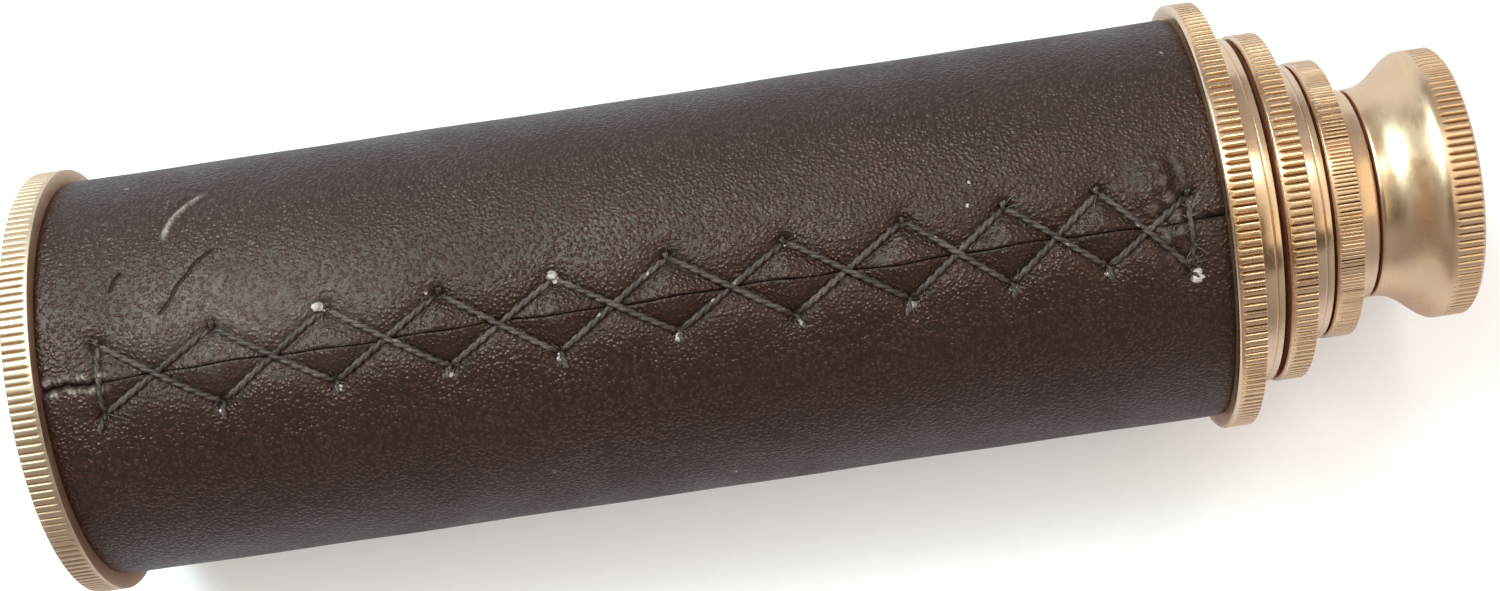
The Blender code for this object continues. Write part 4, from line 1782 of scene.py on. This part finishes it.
@dataclass
class LensTrain:
    """The two blackened cartridges in the eye draw, with their glasses, rings and stops."""

    body: str = "draw_3"
    bore: float = 8.8
    outer: float = 9.4
    waist: float = 7.8
    glass: float = 8.5
    ring_bore: float = 7.3

    def build(self) -> None:
        """Builds the erector and the eyepiece."""
        self.cartridge("erector", 24.0, 60.0, 5.0, "erector_cartridge")
        self.cartridge("ocular", 112.0, 143.2, 5.6, "eyepiece_cartridge")
        self.stop("aperture_disc", 41.6, 2.5, "erector_stop")
        self.stop("field_disc", 127.4, 4.5, "field_stop")
        self.lens("erector_glass_1", 26.3, 28.6, 0.0, 1.5, "erector_front_lens")
        self.lens("erector_glass_2", 55.6, 57.8, 1.5, 0.0, "erector_rear_lens")
        self.lens("field_glass", 114.9, 117.2, 1.8, 0.0, "field_lens")
        self.lens("eye_glass", 138.2, 140.3, 1.6, 0.0, "eye_lens")
        self.ring("erector_ring_1", 24.3, 25.9, -1, "erector_front_retainer")
        self.ring("erector_ring_2", 58.1, 59.7, 1, "erector_rear_retainer")
        self.ring("field_ring", 112.3, 113.9, -1, "field_lens_retainer")
        self.ring("eye_ring", 140.7, 142.4, 1, "eye_lens_retainer")

    def cartridge(self, name: str, start: float, end: float, seat: float, node: str) -> None:
        """Turns one lens tube with a wider seat at each end."""
        corners = [
            Corner(start, self.bore, 0.1),
            Corner(start, self.outer, 0.1),
            Corner(end, self.outer, 0.1),
            Corner(end, self.bore, 0.1),
            Corner(end - seat, self.bore),
            Corner(end - seat, self.waist, 0.1),
            Corner(start + seat, self.waist, 0.1),
            Corner(start + seat, self.bore),
        ]
        piece = turned(f"{name}_tube", Outline(corners, steps=3), columns=120)
        settle(piece, BlackenedBrass(), self.body, "blackened_brass", node)

    def stop(self, name: str, station: float, aperture: float, node: str) -> None:
        """Turns one thin diaphragm."""
        piece = plain_tube(name, station, station + 0.8, aperture, self.waist - GAP, 0.15)
        settle(piece, BlackenedBrass(), self.body, "blackened_brass", node)

    def lens(
        self, name: str, front: float, back: float, front_bulge: float, back_bulge: float, node: str
    ) -> None:
        """Grinds one lens."""
        piece = lens_body(name, front, back, self.glass, front_bulge, back_bulge)
        settle(piece, Glass(), self.body, "glass", node)

    def ring(self, name: str, start: float, end: float, open_side: int, node: str) -> None:
        """Turns one retaining ring."""
        piece = slotted_ring(name, start, end, self.ring_bore, self.glass, open_side)
        settle(piece, BlackenedBrass(), self.body, "blackened_brass", node)


@dataclass
class Bell:
    """The flared eyepiece with its knurled rim and dished face."""

    start: float = 140.2
    rim_start: float = 146.7
    end: float = 150.0
    waist: float = 11.3
    rim: float = 14.5
    bore: float = 10.6
    knurl: Knurl = Knurl(107, 14.5, 146.95, 149.75, depth=0.27, entry=0.55, leave=0.12, seed=19)

    def flare(self, station: float) -> float:
        """Outside radius of the trumpet at a station."""
        share = min(max((station - self.start) / (self.rim_start - self.start), 0.0), 1.0)
        eased = share**1.45
        return self.waist + (self.rim - self.waist) * eased * eased * (3 - 2 * eased)

    def build(self) -> None:
        """Turns the bell."""
        steps, flare_start = 34, self.start + 0.25
        stations = np.linspace(flare_start, self.rim_start, steps + 1)
        flare = [Corner(station, self.flare(station)) for station in stations]
        rim = [Corner(s, self.rim) for s in self.knurl.stations()[:6] + [148.4, 149.1, 149.35]]
        # The fourth value of a corner is red painted shade, on the bore and inner faces.
        outline = Outline(
            [
                Corner(self.start, self.bore, 0.0, 0.8),
                Corner(self.start, self.waist - 0.40, 0.0, 1.0),
                Corner(self.start, self.waist - 0.12, 0.06, 0.2),
                *flare,
                *rim,
                Corner(self.end - 0.42, self.rim, 0.05),
                Corner(self.end, self.rim - 0.45, 0.16),
                Corner(self.end, 13.6),
                Corner(self.end, 12.75, 0.12),
                Corner(self.end - 0.45, 12.25, 0.25),
                Corner(148.0, 11.2, 0.3),
                Corner(146.4, 9.9, 0.4),
                Corner(145.5, 9.1, 0.25, 0.1),
                Corner(145.2, 8.6, 0.2, 0.2),
                Corner(145.0, 6.4),
                Corner(145.0, 4.5, 0.12),
                Corner(143.8, 4.5, 0.05, 0.3),
                Corner(143.8, self.bore, 0.0, 0.6),
            ]
        )
        piece = turned("flared_eyepiece", outline, self.knurl)
        settle(piece, SPUN_BRASS, "draw_3", "brass", "eyepiece_bell")


@dataclass(frozen=True)
class Studio:
    """The pale table, the soft lights and the camera."""

    eye: Place = (0.0031, -0.0144, 0.2744)
    aim: Place = (-0.0009, -0.0014, 0.0230)
    up: Place = (0.146, 0.988, 0.049)
    lens: float = 55.68
    middle: Place = (0.0, 0.0, 0.02)        # where the lamps point

    def camera(self) -> None:
        """Hangs the camera over the table."""
        data = bpy.data.cameras.new("camera")
        data.lens = self.lens
        data.sensor_width = 36.0
        data.clip_start, data.clip_end = 0.01, 20.0
        made = bpy.data.objects.new("camera", data)
        back = (Vector(self.eye) - Vector(self.aim)).normalized()
        right = Vector(self.up).cross(back).normalized()
        up = back.cross(right)
        turn = Matrix((right, up, back)).transposed().to_4x4()
        made.matrix_world = Matrix.Translation(Vector(self.eye)) @ turn
        bpy.context.scene.collection.objects.link(made)
        bpy.context.scene.camera = made

    def table(self) -> None:
        """Lays the pale table, which is darker in reflections than it looks."""
        half, below = 2.5, -0.00005
        sides = ((-half, -half), (half, -half), (half, half), (-half, half))
        top = self.sheet("table", [(x, y, below) for x, y in sides])
        made, graph, shader = new_material("pale_table")
        fine = graph.remap(graph.noise(graph.place(), 300.0, 3.0), 0.0, 1.0, 0.0, 1.0)
        pale = graph.blend(fine, (0.90, 0.90, 0.90, 1.0), (0.93, 0.93, 0.93, 1.0))
        seen = graph.node("ShaderNodeLightPath").outputs["Is Camera Ray"]
        tone = graph.blend(seen, (0.54, 0.52, 0.55, 1.0), pale)
        graph.supply(shader, Base_Color=tone, Roughness=0.9, Specular_IOR_Level=0.1)
        top.data.materials.append(made)

    def sheet(self, name: str, corners: list[Place]) -> bpy.types.Object:
        """Adds a flat four-cornered sheet."""
        mesh = bpy.data.meshes.new(name)
        mesh.from_pydata(corners, [], [(0, 1, 2, 3)])
        made = bpy.data.objects.new(name, mesh)
        bpy.context.scene.collection.objects.link(made)
        return made

    def lamp(
        self, name: str, place: Place, size: float, power: float, colour: Place
    ) -> bpy.types.Object:
        """Adds a soft square lamp that faces the spyglass.

        Args:
            name: the lamp's name.
            place: where it hangs.
            size: the length of its sides.
            power: its power in watts.
            colour: its colour.

        Returns:
            The lamp.
        """
        data = bpy.data.lights.new(name, "AREA")
        data.color = colour
        data.shape = "SQUARE"
        data.size = size
        data.energy = power
        made = bpy.data.objects.new(name, data)
        made.location = place
        ahead = Vector(self.middle) - Vector(place)
        made.rotation_euler = ahead.to_track_quat("-Z", "Y").to_euler()
        bpy.context.scene.collection.objects.link(made)
        return made

    def sky(self, level: float, right: float) -> None:
        """Fills the room with soft light, brighter from the eyepiece's side.

        Args:
            level: strength over the table and to the left.
            right: strength far to the right.
        """
        world = bpy.data.worlds.new("room")
        world.use_nodes = True
        graph = Graph(world.node_tree)
        backdrop = world.node_tree.nodes["Background"]
        parts = graph.node("ShaderNodeSeparateXYZ")
        graph.join(graph.node("ShaderNodeTexCoord").outputs["Generated"], parts.inputs[0])
        across = graph.remap(parts.outputs["X"], 0.0, 0.45, level, right)
        above = graph.remap(parts.outputs["Z"], 0.1, 0.95, 0.0, 1.0)
        rise = graph.remap(above, 0.0, 1.0, 0.75, 1.2)
        tone = graph.blend(above, (1.0, 0.95, 0.94, 1.0), (1.0, 0.92, 0.82, 1.0))
        graph.supply(backdrop, Strength=graph.times(across, rise), Color=tone)
        bpy.context.scene.world = world

    def card(
        self, name: str, corners: list[Place], glow: float, tones: tuple[Colour, Colour]
    ) -> None:
        """Hangs a card that only polished surfaces pick up.

        Args:
            name: the card's name.
            corners: its four corners.
            glow: how much light it gives off.
            tones: the two colours that it is mottled with.
        """
        made = self.sheet(name, corners)
        finish, graph, shader = new_material(name)
        tone = graph.blend(graph.noise(graph.place(), 9.0, 3.0), *tones)
        graph.supply(
            shader, Base_Color=tone, Emission_Color=tone, Emission_Strength=glow, Roughness=0.9
        )
        made.data.materials.append(finish)
        made.visible_camera = False
        made.visible_diffuse = False
        made.visible_shadow = False

    def cards(self) -> None:
        """Hangs a dark card on the near side and a warm one over the eyepiece."""
        dark = [
            (-0.24, -0.34, 0.36), (0.30, -0.34, 0.36), (0.24, -0.05, 0.52), (-0.20, -0.05, 0.52)
        ]
        self.card("dark_card", dark, 0.0, ((0.05, 0.03, 0.02, 1.0), (0.16, 0.11, 0.08, 1.0)))
        warm = [(0.135, -0.20, 0.40), (0.38, -0.20, 0.34), (0.38, 0.22, 0.34), (0.135, 0.22, 0.40)]
        self.card("warm_card", warm, 0.68, ((0.85, 0.75, 0.54, 1.0), (1.0, 0.87, 0.66, 1.0)))

    def lights(self) -> None:
        """Sets the key, the fill and the room light."""
        self.lamp("key", (-0.20, 0.25, 0.40), 0.28, 2.9, (0.72, 1.0, 1.04))
        self.lamp("window", (0.111, 0.169, 0.458), 0.09, 0.22, (1.0, 1.0, 0.96))
        fill = self.lamp("fill", (0.30, -0.50, 0.30), 0.50, 0.6, (1.0, 0.94, 0.91))
        overhead = self.lamp("overhead", (0.05, 0.0, 0.90), 1.0, 6.0, (1.0, 0.965, 0.945))
        fill.visible_glossy = overhead.visible_glossy = False
        self.sky(0.40, 0.56)
        self.cards()
        bpy.context.scene.view_settings.view_transform = "Standard"

    def build(self) -> None:
        """Sets up the whole studio."""
        self.camera()
        self.table()
        self.lights()
        LOG.info("studio ready")


def collar_knurl(
    index: int, count: int, lead: float, depth: float, seed: int, **wear: object
) -> Knurl:
    """The knurling of a collar, which runs off the back of its flange.

    Args:
        index: which collar it is, from 0 at the barrel.
        count: how many grooves it has.
        lead: how far behind the flange's front face the grooves start.
        depth: how deep they are.
        seed: where its random wear starts.
        wear: other settings of the knurling.

    Returns:
        The knurling.
    """
    face = COLLAR_FACES[index]
    end = face + FLANGE_WIDTH
    return Knurl(count, COLLAR_RADII[index], face + lead, end, depth=depth, seed=seed, **wear)


def main() -> None:
    """Builds the studio and the spyglass, from the objective to the eye."""
    logging.basicConfig(level=logging.INFO, format="%(name)s: %(message)s", stream=sys.stdout)
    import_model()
    Studio().build()
    Objective().build()
    large = collar_knurl(0, 170, 0.42, 0.28, 11)
    middle = collar_knurl(1, 140, 0.42, 0.28, 12)
    nicks = ((30.0, 2.0), (33.3, 2.0), (44.0, 1.7), (-20.0, 1.6))
    small = collar_knurl(
        2, 218, 0.35, 0.17, 13, entry=0.4, wander=0.16, doubled=0.061, scars=nicks
    )
    Barrel(Collar("collar_large", 0, large, "barrel", "barrel_collar")).build()
    HideCover().build()
    Draw(0, 128.3, Collar("collar_middle", 1, middle, "draw_1", "draw_collar_1")).build()
    Draw(1, 134.1, Collar("collar_small", 2, small, "draw_2", "draw_collar_2")).build()
    Draw(2, 143.5).build()
    LensTrain().build()
    Bell().build()


if __name__ == "__main__":
    main()
